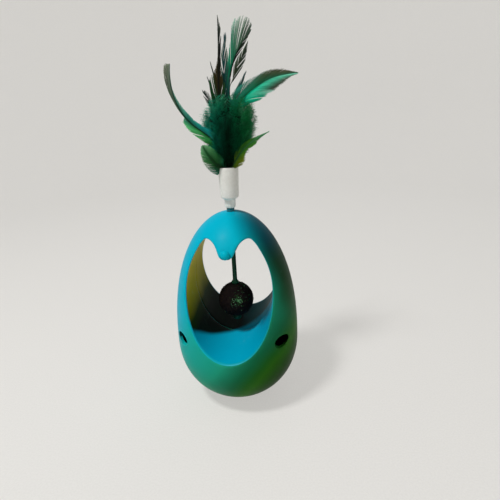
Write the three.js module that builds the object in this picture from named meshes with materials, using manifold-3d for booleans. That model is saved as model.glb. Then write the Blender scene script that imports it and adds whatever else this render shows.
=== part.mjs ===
// Catnip tumbler toy: a weighted egg with a tunnel through it, a catnip ball that swings
// in the tunnel, two treat holes and a feather head that turns on the crown.
// Millimetres, +Z up, the front faces -Y, and the origin is on the egg's axis at its foot.
import * as THREE from "three";
import { mergeVertices } from "three/addons/utils/BufferGeometryUtils.js";
import Module from "manifold-3d";

const wasm = await Module();
wasm.setup();

// Fits and overruns
const clearance = 0.3;
const seamGap = 0.3;
const cutOverrun = 8;
const chamfer = 0.5;

// Egg: two superellipse quarters that meet at the widest circle
const eggRadius = 41;
const baseDepth = 44.4;
const crownHeight = 86.95;
const baseRoundness = 2.18;
const crownRoundness = 2.27;
const footDepth = 0.5;
const skinWall = 2;

// Tunnel: a drop-shaped way through the egg, with a tongue that hangs from its ceiling
const tunnelFloorZ = 44.9;
const tunnelSideDepth = 14.1;
const ceilingDepth = 12.65;
const tongueLength = 10.1;
const lobeX = 12.4;
const shoulderX = 17.3;
const shoulderDrop = 3.8;
const flankX = 5.9;
const tunnelDraft = 0.5;
const tunnelWall = 1.8;
const lipReach = 2.2;
const widestShare = 0.545;
const flankShare = 0.5;

// Treat holes, in the front half
const treatHoleRadius = 4.1;
const treatHoleX = 31.8;
const treatHoleZ = 53.4;

// Counterweight, its pocket and its cover
const weightRadius = 25.5;
const weightTopZ = 15;
const weightChamfer = 1;
const pocketWall = 1.6;
const pocketRise = 2;
const coverWall = 1.8;
const coverRimWidth = 3;
const coverDish = 1;
const ledgeWidth = 3.2;
const ledgeWall = 1.5;

// Screws and the bosses that hold them
const screwX = 24;
const screwZ = 26;
const screwRadius = 1.5;
const screwHeadRadius = 3;
const screwHeadHeight = 2;
const screwSeatY = 12;
const screwLength = 18;
const screwBlindReach = 3;
const bossWall = 1.5;
const driveWidth = 0.7;
const driveDepth = 0.9;

// Locating lip on the seam
const seamLipWall = 0.9;
const seamLipReach = 2;
const seamLipRoot = 1;

// Pin through the tongue, and the stem that swings on it
const pinRise = 3.2;
const pinRadius = 1.25;
const pinHeadRadius = 3;
const pinSink = 0.2;
const pinTailY = 18;
const stemRadius = 1.5;
const eyeRadius = 3.2;
const eyeWidth = 3.6;
const eyeSideGap = 0.4;
const collarRadius = 2.4;
const collarHeight = 1;
const collarTaper = 1.2;
const stemTaper = 0.5;

// Catnip ball
const ballRadius = 11.5;
const ballDrop = 41.8;
const ballRoughness = 0.35;
const lumpPitch = 4.5;

// Cap under the ball
const capRadius = 2.9;
const capHeight = 3.4;
const capWall = 0.7;
const capRound = 1.2;
const stemEndReach = 2.3;

// Peg in the crown
const pegRadius = 2.4;
const pegProud = 1.8;
const pegFlangeRadius = 6.2;
const pegFlangeWall = 1.6;
const pegStubRadius = 2.4;
const spigotRadius = 1.6;
const spigotLength = 5.2;

// Feather sleeve
const neckEndRadius = 2.3;
const neckBottomRadius = 3.3;
const neckTopRadius = 3.55;
const neckRound = 1.3;
const neckLength = 5.55;
const shoulderRise = 1.6;
const cupBottomRadius = 5.7;
const cupTopRadius = 6.35;
const cupLength = 20;
const cupWall = 1;
const cupFloorWall = 2.3;
const rimRound = 0.4;

// Glue plug
const plugRecess = 2;
const plugDome = 0.8;

// Feathers
const plumeHeight = 100;
const quillRadius = 0.55;
const innerQuillRing = 1.15;
const outerQuillRing = 2.8;
const featherRoom = 0.42;
const vaneCupShare = 0.18;
const tipShare = 0.12;
const taperPower = 4;

// Tuft of marabou, above the sleeve's rim
const tuftHeight = 44;
const tuftSeat = 1;
const tuftRimRise = 0.6;
const tuftLobes = 5;
const lobeDepthShare = 0.07;
const lobeTwist = 0.9;

// Facet counts
const eggSides = 40;
const baseRings = 7;
const crownRings = 11;
const outlineSteps = 6;
const lipSteps = 2;
const neckRoundSteps = 3;
const headSteps = 6;
const ballDetail = 4;
const roundSides = 24;
const smallSides = 16;
const boreSides = 12;
const featherStations = 15;
const tuftSides = 16;

// Levels that follow from the sizes above
const crownZ = baseDepth + crownHeight;
const ceilingZ = crownZ - ceilingDepth;
const tongueTipZ = ceilingZ - tongueLength;
const tunnelHalfWidth = eggRadius - tunnelSideDepth;
const pivotZ = tongueTipZ + pinRise;
const slotHalf = eyeWidth / 2 + eyeSideGap;
const ballZ = pivotZ - ballDrop;
const coverZ = weightTopZ + pocketRise + clearance;
const pegShoulderZ = crownZ + pegProud;
const sleeveZ = pegShoulderZ + clearance;
const cupZ = sleeveZ + neckLength;
const cupTopZ = cupZ + cupLength;
const cupFloorZ = cupZ + cupFloorWall;
const quillZ = cupFloorZ + clearance + clearance;

// Finishes
const finish = {
  shell: { color: "#1296ae", roughness: 0.42, metalness: 0 },
  iron: { color: "#4a4b4d", roughness: 0.7, metalness: 0.9 },
  cover: { color: "#2b2d30", roughness: 0.6, metalness: 0 },
  steel: { color: "#a9abad", roughness: 0.35, metalness: 1 },
  pin: { color: "#0f8da6", roughness: 0.4, metalness: 0 },
  stem: { color: "#06402f", roughness: 0.5, metalness: 0 },
  catnip: { color: "#2c2a1c", roughness: 0.95, metalness: 0 },
  sleeve: { color: "#e4e4dc", roughness: 0.45, metalness: 0 },
  glue: { color: "#d8cfae", roughness: 0.35, metalness: 0 },
  darkFeather: { color: "#0a3a26", roughness: 0.8, metalness: 0 },
  brightFeather: { color: "#0f8f72", roughness: 0.75, metalness: 0 },
  brownFeather: { color: "#2b2a16", roughness: 0.8, metalness: 0 },
  fluff: { color: "#0b4d30", roughness: 0.95, metalness: 0 },
};

// Joins a closed geometry's shared corners and makes it a solid that can be joined and cut.
// Its faces point out whichever way its profile or its rings ran.
function solid(geometry) {
  const bare = geometry.clone();
  bare.deleteAttribute("normal");
  bare.deleteAttribute("uv");
  const merged = mergeVertices(bare);
  const corners = [];
  let volume = 0;
  for (let i = 0; i < merged.index.count; i += 3) {
    const face = [merged.index.getX(i), merged.index.getX(i + 1), merged.index.getX(i + 2)];
    if (new Set(face).size < face.length) continue;
    const [a, b, c] = face.map((k) => new THREE.Vector3().fromBufferAttribute(merged.attributes.position, k));
    volume += a.dot(b.cross(c));
    corners.push(...face);
  }
  if (volume < 0) corners.reverse();
  return new wasm.Manifold(
    new wasm.Mesh({
      numProp: 3,
      vertProperties: Float32Array.from(merged.attributes.position.array),
      triVerts: Uint32Array.from(corners),
    }),
  );
}

// Turns a solid back into a geometry with flat faces
function geometryOf(body) {
  const mesh = body.getMesh();
  const geometry = new THREE.BufferGeometry();
  geometry.setAttribute("position", new THREE.BufferAttribute(Float32Array.from(mesh.vertProperties), 3));
  geometry.setIndex(new THREE.BufferAttribute(Uint32Array.from(mesh.triVerts), 1));
  const flat = geometry.toNonIndexed();
  flat.computeVertexNormals();
  return flat;
}

// Turns a profile of [radius, height] points round the Z axis
function revolve(profile, sides) {
  const points = profile.map(([radius, height]) => new THREE.Vector2(radius, height));
  return solid(new THREE.LatheGeometry(points, sides).rotateX(Math.PI / 2));
}

// A round bar along Z between two heights
function bar(radius, lowZ, highZ, sides = smallSides) {
  return revolve(
    [
      [0, lowZ],
      [radius, lowZ],
      [radius, highZ],
      [0, highZ],
    ],
    sides,
  );
}

// Lays a solid made along Z down along Y, so that its height becomes its depth
function alongY(body, x, z) {
  return body.rotate([-90, 0, 0]).translate([x, 0, z]);
}

// A block between two corners
function block(low, high) {
  const size = high.map((value, axis) => value - low[axis]);
  const middle = high.map((value, axis) => (value + low[axis]) / 2);
  return solid(new THREE.BoxGeometry(...size).translate(...middle));
}

// Skins a row of rings that have as many points each, with the same triangles closing both ends
function loft(rings, endFaces) {
  const count = rings[0].length;
  const faces = [];
  for (let r = 0; r + 1 < rings.length; r += 1) {
    for (let i = 0; i < count; i += 1) {
      const a = r * count + i;
      const b = r * count + ((i + 1) % count);
      faces.push(a, b, b + count, a, b + count, a + count);
    }
  }
  const last = (rings.length - 1) * count;
  for (const [a, b, c] of endFaces) faces.push(a, c, b, last + a, last + b, last + c);
  const places = rings.flat().flatMap((point) => point.toArray());
  const geometry = new THREE.BufferGeometry();
  geometry.setAttribute("position", new THREE.BufferAttribute(Float32Array.from(places), 3));
  geometry.setIndex(faces);
  return solid(geometry);
}

// Triangles that close a ring which bulges everywhere
function fan(count) {
  return Array.from({ length: count - 2 }, (_, i) => [0, i + 1, i + 2]);
}

// Egg radius at a height
function eggRadiusAt(z) {
  const base = z < baseDepth;
  const share = Math.abs(z - baseDepth) / (base ? baseDepth : crownHeight);
  return eggRadius * Math.sqrt(Math.max(0, 1 - share ** (base ? baseRoundness : crownRoundness)));
}

// The egg drawn in by an inset all over
function eggBody(inset) {
  const profile = [];
  const radius = eggRadius - inset;
  for (let i = 0; i <= baseRings; i += 1) {
    const turn = (Math.PI / 2) * (1 - i / baseRings);
    const rise = Math.sin(turn) ** (2 / baseRoundness);
    profile.push([i === 0 ? 0 : radius * Math.cos(turn), baseDepth - (baseDepth - inset) * rise]);
  }
  for (let i = 1; i <= crownRings; i += 1) {
    const turn = (Math.PI / 2) * (i / crownRings);
    const rise = Math.sin(turn) ** (2 / crownRoundness);
    profile.push([i === crownRings ? 0 : radius * Math.cos(turn), baseDepth + (crownHeight - inset) * rise]);
  }
  return revolve(profile, eggSides);
}

// Right half of the tunnel's outline, from the middle of the floor to the top of the lobe
function tunnelSide(shape) {
  const widestZ = tunnelFloorZ + (ceilingZ - tunnelFloorZ) * widestShare;
  const shoulderZ = ceilingZ - shoulderDrop;
  const bowlShare = 0.55;
  const bowlSideShare = 0.6;
  const riseShare = 0.5;
  const shoulderRunShare = 0.42;
  const lobeShare = 0.4;
  const upDirection = [shoulderX - lobeX, shoulderDrop];
  shape.moveTo(0, tunnelFloorZ);
  shape.bezierCurveTo(
    tunnelHalfWidth * bowlShare,
    tunnelFloorZ,
    tunnelHalfWidth,
    widestZ - (widestZ - tunnelFloorZ) * bowlSideShare,
    tunnelHalfWidth,
    widestZ,
  );
  shape.bezierCurveTo(
    tunnelHalfWidth,
    widestZ + (shoulderZ - widestZ) * riseShare,
    shoulderX + (tunnelHalfWidth - shoulderX) * shoulderRunShare,
    shoulderZ - (shoulderZ - widestZ) * (1 - riseShare) * shoulderRunShare,
    shoulderX,
    shoulderZ,
  );
  shape.bezierCurveTo(
    shoulderX - upDirection[0] * lobeShare,
    shoulderZ + upDirection[1] * (1 - lobeShare),
    lobeX + upDirection[0] * lobeShare,
    ceilingZ,
    lobeX,
    ceilingZ,
  );
}

// Points of a half outline and its mirror image, going round once
function mirrored(half) {
  const left = half.slice(1).reverse().map((point) => new THREE.Vector2(-point.x, point.y));
  return half.concat(left.filter((point) => point.x < 0));
}

// The tunnel's outline with the tongue
function tunnelOutline() {
  const shape = new THREE.Path();
  const flankZ = ceilingZ - tongueLength * flankShare;
  const lobeRunShare = 0.45;
  const flankRunShare = 0.5;
  const flankLeanShare = 0.2;
  const tipRunShare = 0.7;
  const lean = flankX * flankLeanShare;
  tunnelSide(shape);
  shape.bezierCurveTo(
    lobeX - (lobeX - flankX) * lobeRunShare,
    ceilingZ,
    flankX + lean,
    flankZ + (ceilingZ - flankZ) * flankRunShare,
    flankX,
    flankZ,
  );
  shape.bezierCurveTo(
    flankX - lean,
    flankZ - (flankZ - tongueTipZ) * flankRunShare,
    flankX * tipRunShare,
    tongueTipZ,
    0,
    tongueTipZ,
  );
  return mirrored(shape.getPoints(outlineSteps));
}

// The tunnel's outline without the tongue, straight across from lobe to lobe
function linerOutline() {
  const shape = new THREE.Path();
  tunnelSide(shape);
  return mirrored(shape.getPoints(outlineSteps));
}

// Direction away from the tunnel at each point of an outline
function outwardDirections(outline) {
  return outline.map((point, i) => {
    const before = outline[(i + outline.length - 1) % outline.length];
    const after = outline[(i + 1) % outline.length];
    const along = after.clone().sub(before).normalize();
    return new THREE.Vector2(along.y, -along.x);
  });
}

// The rounded lip between the egg's surface and the tunnel, at one point of the outline.
// The wall runs straight in along Y, and the surface runs away from the tunnel.
function lipPoints(point, outward, side) {
  const radius = eggRadiusAt(point.y);
  const y = side * Math.sqrt(Math.max(0, radius ** 2 - point.x ** 2));
  const step = clearance;
  const slope = (eggRadiusAt(point.y + step) - eggRadiusAt(point.y - step)) / (step + step);
  const rise = -(point.x * outward.x - radius * slope * outward.y) / y;
  const edge = new THREE.Vector3(point.x, y, point.y);
  const away = new THREE.Vector3(outward.x, rise, outward.y).setLength(lipReach);
  const wall = new THREE.Vector3(0, -side * lipReach, 0).add(edge);
  const surface = away.add(edge);
  const lip = new THREE.QuadraticBezierCurve3(wall, edge, surface);
  return lip.getPoints(lipSteps);
}

// Everything that the tunnel takes away, with its lips at both ends and its draft to the seam
function tunnelCutter() {
  const outline = tunnelOutline();
  const outward = outwardDirections(outline);
  const rows = outline.map((point, i) => {
    const front = lipPoints(point, outward[i], -1).reverse();
    const back = lipPoints(point, outward[i], 1);
    const far = eggRadius + cutOverrun;
    const middle = new THREE.Vector3(
      point.x - outward[i].x * tunnelDraft,
      0,
      point.y - outward[i].y * tunnelDraft,
    );
    const frontEnd = front[0].clone().setY(-far);
    const backEnd = back[back.length - 1].clone().setY(far);
    return [frontEnd, ...front, middle, ...back, backEnd];
  });
  const rings = rows[0].map((_, r) => rows.map((row) => row[r]));
  const flat = rings[0].map((point) => new THREE.Vector2(point.x, point.z));
  return loft(rings, THREE.ShapeUtils.triangulateShape(flat, []));
}

// The solid bar round the tunnel, from which the tunnel is cut
function tunnelLiner() {
  const outline = linerOutline();
  const outward = outwardDirections(outline);
  const shape = new THREE.Shape(
    outline.map((point, i) => point.clone().addScaledVector(outward[i], tunnelWall)),
  );
  const depth = 2 * eggRadius;
  const raw = new THREE.ExtrudeGeometry(shape, { depth, bevelEnabled: false });
  return solid(raw.translate(0, 0, -eggRadius).rotateX(Math.PI / 2)).intersect(eggBody(0));
}

// A ring that stands on the inside of the skin
function innerRing(innerRadius, outerRadius, lowZ, highZ) {
  const outer = bar(outerRadius, lowZ, highZ, roundSides);
  const inner = bar(innerRadius, lowZ - cutOverrun, highZ + cutOverrun, roundSides);
  return outer.subtract(inner).intersect(eggBody(skinWall / 2));
}

// Pocket round the counterweight, on both halves
function weightPocket() {
  const inner = weightRadius + clearance;
  return innerRing(inner, inner + pocketWall, 0, coverZ - clearance);
}

// Ledge that holds the counterweight's cover down, on both halves
function coverLedge() {
  const lowZ = coverZ + coverWall + clearance;
  const skinRadius = eggRadiusAt(lowZ) - skinWall;
  return innerRing(skinRadius - ledgeWidth, eggRadius, lowZ, lowZ + ledgeWall);
}

// Screw boss of one half: side is -1 on the front and 1 on the back
function screwBoss(x, side) {
  const radius = screwHeadRadius + clearance + bossWall;
  const length = side * eggRadius;
  const body = bar(radius, Math.min(0, length), Math.max(0, length), smallSides);
  return alongY(body, x, screwZ).intersect(eggBody(skinWall / 2));
}

// Way for one screw: a clearance hole, a counterbore from the back and a blind end in the front
function screwWay(x) {
  const blindY = screwSeatY - screwLength - screwBlindReach;
  const shank = bar(screwRadius + clearance, blindY, eggRadius, boreSides);
  const head = bar(screwHeadRadius + clearance, screwSeatY, eggRadius + cutOverrun, smallSides);
  return alongY(shank.add(head), x, screwZ);
}

// Treat hole through the front skin, straight along Y as the mould opens
function treatHole(side) {
  const hole = bar(treatHoleRadius, -eggRadius - cutOverrun, 0, roundSides);
  return alongY(hole, side * treatHoleX, treatHoleZ);
}

// Bore for the pin, the flat seat of its head and the slot for the stem's eye
function pinWay() {
  const seatY = eggRadiusAt(pivotZ) - pinSink;
  const bore = bar(pinRadius + clearance, -eggRadius, pinTailY + clearance, boreSides);
  const seat = bar(pinHeadRadius + clearance, -eggRadius - cutOverrun, -seatY, smallSides);
  const slot = block(
    [-lobeX, -slotHalf, tongueTipZ - cutOverrun],
    [lobeX, slotHalf, pivotZ + eyeRadius + clearance],
  );
  return alongY(bore.add(seat), 0, pivotZ).add(slot);
}

// Strip along the seam, inside the skin: the front's lip, or with room round it the back's rebate
function seamStrip(room) {
  const outer = eggBody(skinWall - seamLipWall - room);
  const inner = eggBody(skinWall + room);
  const strip = block(
    [-eggRadius, -seamLipRoot, -cutOverrun],
    [eggRadius, seamLipReach + room, crownZ + cutOverrun],
  );
  return outer.subtract(inner).intersect(strip);
}

// Half space in front of the seam or behind it, above the foot
function halfSpace(side) {
  const far = eggRadius + cutOverrun;
  const near = seamGap / 2;
  const low = [-far, side < 0 ? -far : near, footDepth];
  const high = [far, side < 0 ? -near : far, crownZ + cutOverrun];
  return block(low, high);
}

// Hole in the crown for the peg
function pegHole() {
  return bar(pegRadius + clearance, ceilingZ + tunnelWall, crownZ + cutOverrun, roundSides);
}

// Whole hollow egg before it is split
function wholeEgg() {
  return eggBody(0)
    .subtract(eggBody(skinWall))
    .add(tunnelLiner())
    .add(weightPocket())
    .add(coverLedge())
    .subtract(tunnelCutter())
    .subtract(pinWay())
    .subtract(pegHole());
}

const egg = wholeEgg();
const screwPlaces = { left: -screwX, right: screwX };

// One half of the egg with its screw bosses, still without the ways for the screws
function eggHalf(side) {
  return egg
    .add(screwBoss(screwPlaces.left, side))
    .add(screwBoss(screwPlaces.right, side))
    .intersect(halfSpace(side));
}

// Front half, with the treat holes and the locating lip
function frontShell() {
  return eggHalf(-1)
    .add(seamStrip(0).subtract(pegHole()))
    .subtract(screwWay(screwPlaces.left))
    .subtract(screwWay(screwPlaces.right))
    .subtract(treatHole(-1))
    .subtract(treatHole(1));
}

// Back half, with the screws' counterbores and the rebate for the lip
function backShell() {
  return eggHalf(1)
    .subtract(seamStrip(clearance))
    .subtract(screwWay(screwPlaces.left))
    .subtract(screwWay(screwPlaces.right));
}

// Cast weight that fills its pocket and follows the skin below it
function counterweight() {
  const billet = revolve(
    [
      [0, 0],
      [weightRadius, 0],
      [weightRadius, weightTopZ - weightChamfer],
      [weightRadius - weightChamfer, weightTopZ],
      [0, weightTopZ],
    ],
    roundSides,
  );
  return billet.intersect(eggBody(skinWall + clearance));
}

// Floor of the treat chamber: a dished disc, held between the pocket and the ledge
function weightCover() {
  const plate = revolve(
    [
      [0, coverZ + coverDish],
      [weightRadius - coverRimWidth, coverZ],
      [eggRadius, coverZ],
      [eggRadius, coverZ + coverWall],
      [weightRadius - coverRimWidth, coverZ + coverWall],
      [0, coverZ + coverWall + coverDish],
    ],
    roundSides,
  );
  return plate.intersect(eggBody(skinWall + clearance));
}

// Pan-head screw with a cross recess, its head towards +Y
function shellScrew(x) {
  const seat = screwSeatY + clearance;
  const top = seat + screwHeadHeight;
  const tip = seat - screwLength;
  const body = revolve(
    [
      [0, tip],
      [screwRadius, tip + screwRadius],
      [screwRadius, seat],
      [screwHeadRadius, seat],
      [screwHeadRadius, top - chamfer],
      [screwHeadRadius - chamfer, top],
      [0, top],
    ],
    smallSides,
  );
  const arm = screwHeadRadius - chamfer - driveWidth;
  const half = driveWidth / 2;
  const bottom = top - driveDepth;
  const across = block([-arm, -half, bottom], [arm, half, top + cutOverrun]);
  const upright = block([-half, -arm, bottom], [half, arm, top + cutOverrun]);
  return alongY(body.subtract(across).subtract(upright), x, screwZ);
}

// Pin with a rounded head at the front, through both stubs of the tongue
function pivotPin() {
  const headY = pinSink - eggRadiusAt(pivotZ) - clearance;
  const profile = [];
  for (let i = 0; i <= headSteps; i += 1) {
    const turn = (Math.PI / 2) * (i / headSteps);
    const radius = i === 0 ? 0 : pinHeadRadius * Math.sin(turn);
    profile.push([radius, headY - pinHeadRadius * Math.cos(turn)]);
  }
  profile.push([pinRadius, headY]);
  profile.push([pinRadius, pinTailY - chamfer]);
  profile.push([pinRadius - chamfer, pinTailY]);
  profile.push([0, pinTailY]);
  return alongY(revolve(profile, smallSides), 0, pivotZ);
}

// Stem with an eye round the pin, a collar above the ball and a tapered lower end
function hangingStem() {
  const bottomZ = ballZ - ballRadius - stemEndReach;
  const collarZ = ballZ + ballRadius + clearance;
  const rod = revolve(
    [
      [0, bottomZ],
      [stemRadius - stemTaper, bottomZ],
      [stemRadius, bottomZ + stemTaper],
      [stemRadius, collarZ],
      [collarRadius, collarZ],
      [collarRadius, collarZ + collarHeight],
      [stemRadius, collarZ + collarHeight + collarTaper],
      [stemRadius, pivotZ],
      [0, pivotZ],
    ],
    smallSides,
  );
  const eye = bar(eyeRadius, -eyeWidth / 2, eyeWidth / 2, smallSides);
  const bore = bar(pinRadius + clearance, -cutOverrun, cutOverrun, boreSides);
  return rod.add(alongY(eye, 0, pivotZ)).subtract(alongY(bore, 0, pivotZ));
}

// Push-on cap that carries the ball
function stemEndCap() {
  const topZ = ballZ - ballRadius - clearance;
  const bottomZ = topZ - capHeight;
  const boreZ = ballZ - ballRadius - stemEndReach - clearance;
  return revolve(
    [
      [0, bottomZ],
      [capRadius - capRound, bottomZ],
      [capRadius, bottomZ + capRound],
      [capRadius, topZ - capWall],
      [capRadius - capWall / 2, topZ],
      [stemRadius + clearance, topZ],
      [stemRadius + clearance, boreZ],
      [0, boreZ],
    ],
    smallSides,
  );
}

// Ball of pressed catnip: a lumpy sphere with a bore for the stem
function catnipBall() {
  const geometry = new THREE.IcosahedronGeometry(ballRadius, ballDetail);
  const position = geometry.attributes.position;
  const point = new THREE.Vector3();
  const wave = (2 * Math.PI) / lumpPitch;
  for (let i = 0; i < position.count; i += 1) {
    point.fromBufferAttribute(position, i);
    const lump = Math.sin(point.x * wave) * Math.cos(point.y * wave) + Math.sin(point.z * wave);
    point.setLength(ballRadius - ballRoughness * (1 - lump / 2));
    position.setXYZ(i, point.x, point.y, point.z);
  }
  const bore = bar(stemRadius + clearance, -ballRadius - cutOverrun, ballRadius + cutOverrun, boreSides);
  return solid(geometry).subtract(bore).translate([0, 0, ballZ]);
}

// Peg that turns in the crown: a stub on the tunnel's roof, a flange under the skin and a spigot
function topPeg() {
  const stubZ = ceilingZ + tunnelWall + clearance;
  const underside = crownZ - skinWall;
  const flangeDrop = (pegFlangeRadius / eggRadius) ** 2 * crownHeight;
  const flangeTopZ = underside - flangeDrop + clearance;
  const spigotZ = pegShoulderZ + spigotLength;
  return revolve(
    [
      [0, stubZ],
      [pegStubRadius, stubZ],
      [pegStubRadius, flangeTopZ - pegFlangeWall],
      [pegFlangeRadius, flangeTopZ - pegFlangeWall],
      [pegFlangeRadius, flangeTopZ],
      [pegRadius, flangeTopZ],
      [pegRadius, pegShoulderZ - chamfer],
      [pegRadius - chamfer, pegShoulderZ],
      [spigotRadius, pegShoulderZ],
      [spigotRadius, spigotZ - chamfer],
      [spigotRadius - chamfer, spigotZ],
      [0, spigotZ],
    ],
    smallSides,
  );
}

// Sleeve with a socket below for the spigot and a cup above for the quills
function featherSleeve() {
  const socketZ = pegShoulderZ + spigotLength + clearance;
  const socketRadius = spigotRadius + clearance;
  const neckEnd = Array.from({ length: neckRoundSteps + 1 }, (_, i) => {
    const turn = (Math.PI / 2) * (i / neckRoundSteps);
    const radius = neckEndRadius + (neckBottomRadius - neckEndRadius) * Math.sin(turn);
    return [radius, sleeveZ + neckRound * (1 - Math.cos(turn))];
  });
  return revolve(
    [
      [0, socketZ],
      [socketRadius, socketZ],
      [socketRadius, sleeveZ],
      ...neckEnd,
      [neckTopRadius, cupZ],
      [cupBottomRadius, cupZ + shoulderRise],
      [cupTopRadius, cupTopZ - rimRound],
      [cupTopRadius - rimRound, cupTopZ],
      [cupTopRadius - cupWall, cupTopZ],
      [cupBottomRadius - cupWall, cupFloorZ],
      [0, cupFloorZ],
    ],
    roundSides,
  );
}

// Places of the quills in the cup: the ring that each one stands on, and its turn in degrees
const quillPlaces = {
  tall_feather: [innerQuillRing, -90],
  slim_feather: [innerQuillRing, 30],
  high_hackle: [innerQuillRing, 150],
  right_feather: [outerQuillRing, -20],
  low_right_feather: [outerQuillRing, -65],
  low_left_feather: [outerQuillRing, -115],
  left_feather: [outerQuillRing, -160],
  middle_hackle: [outerQuillRing, 155],
  low_hackle: [outerQuillRing, 110],
  crest_feather: [outerQuillRing, 65],
  right_hackle: [outerQuillRing, 25],
};

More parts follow.
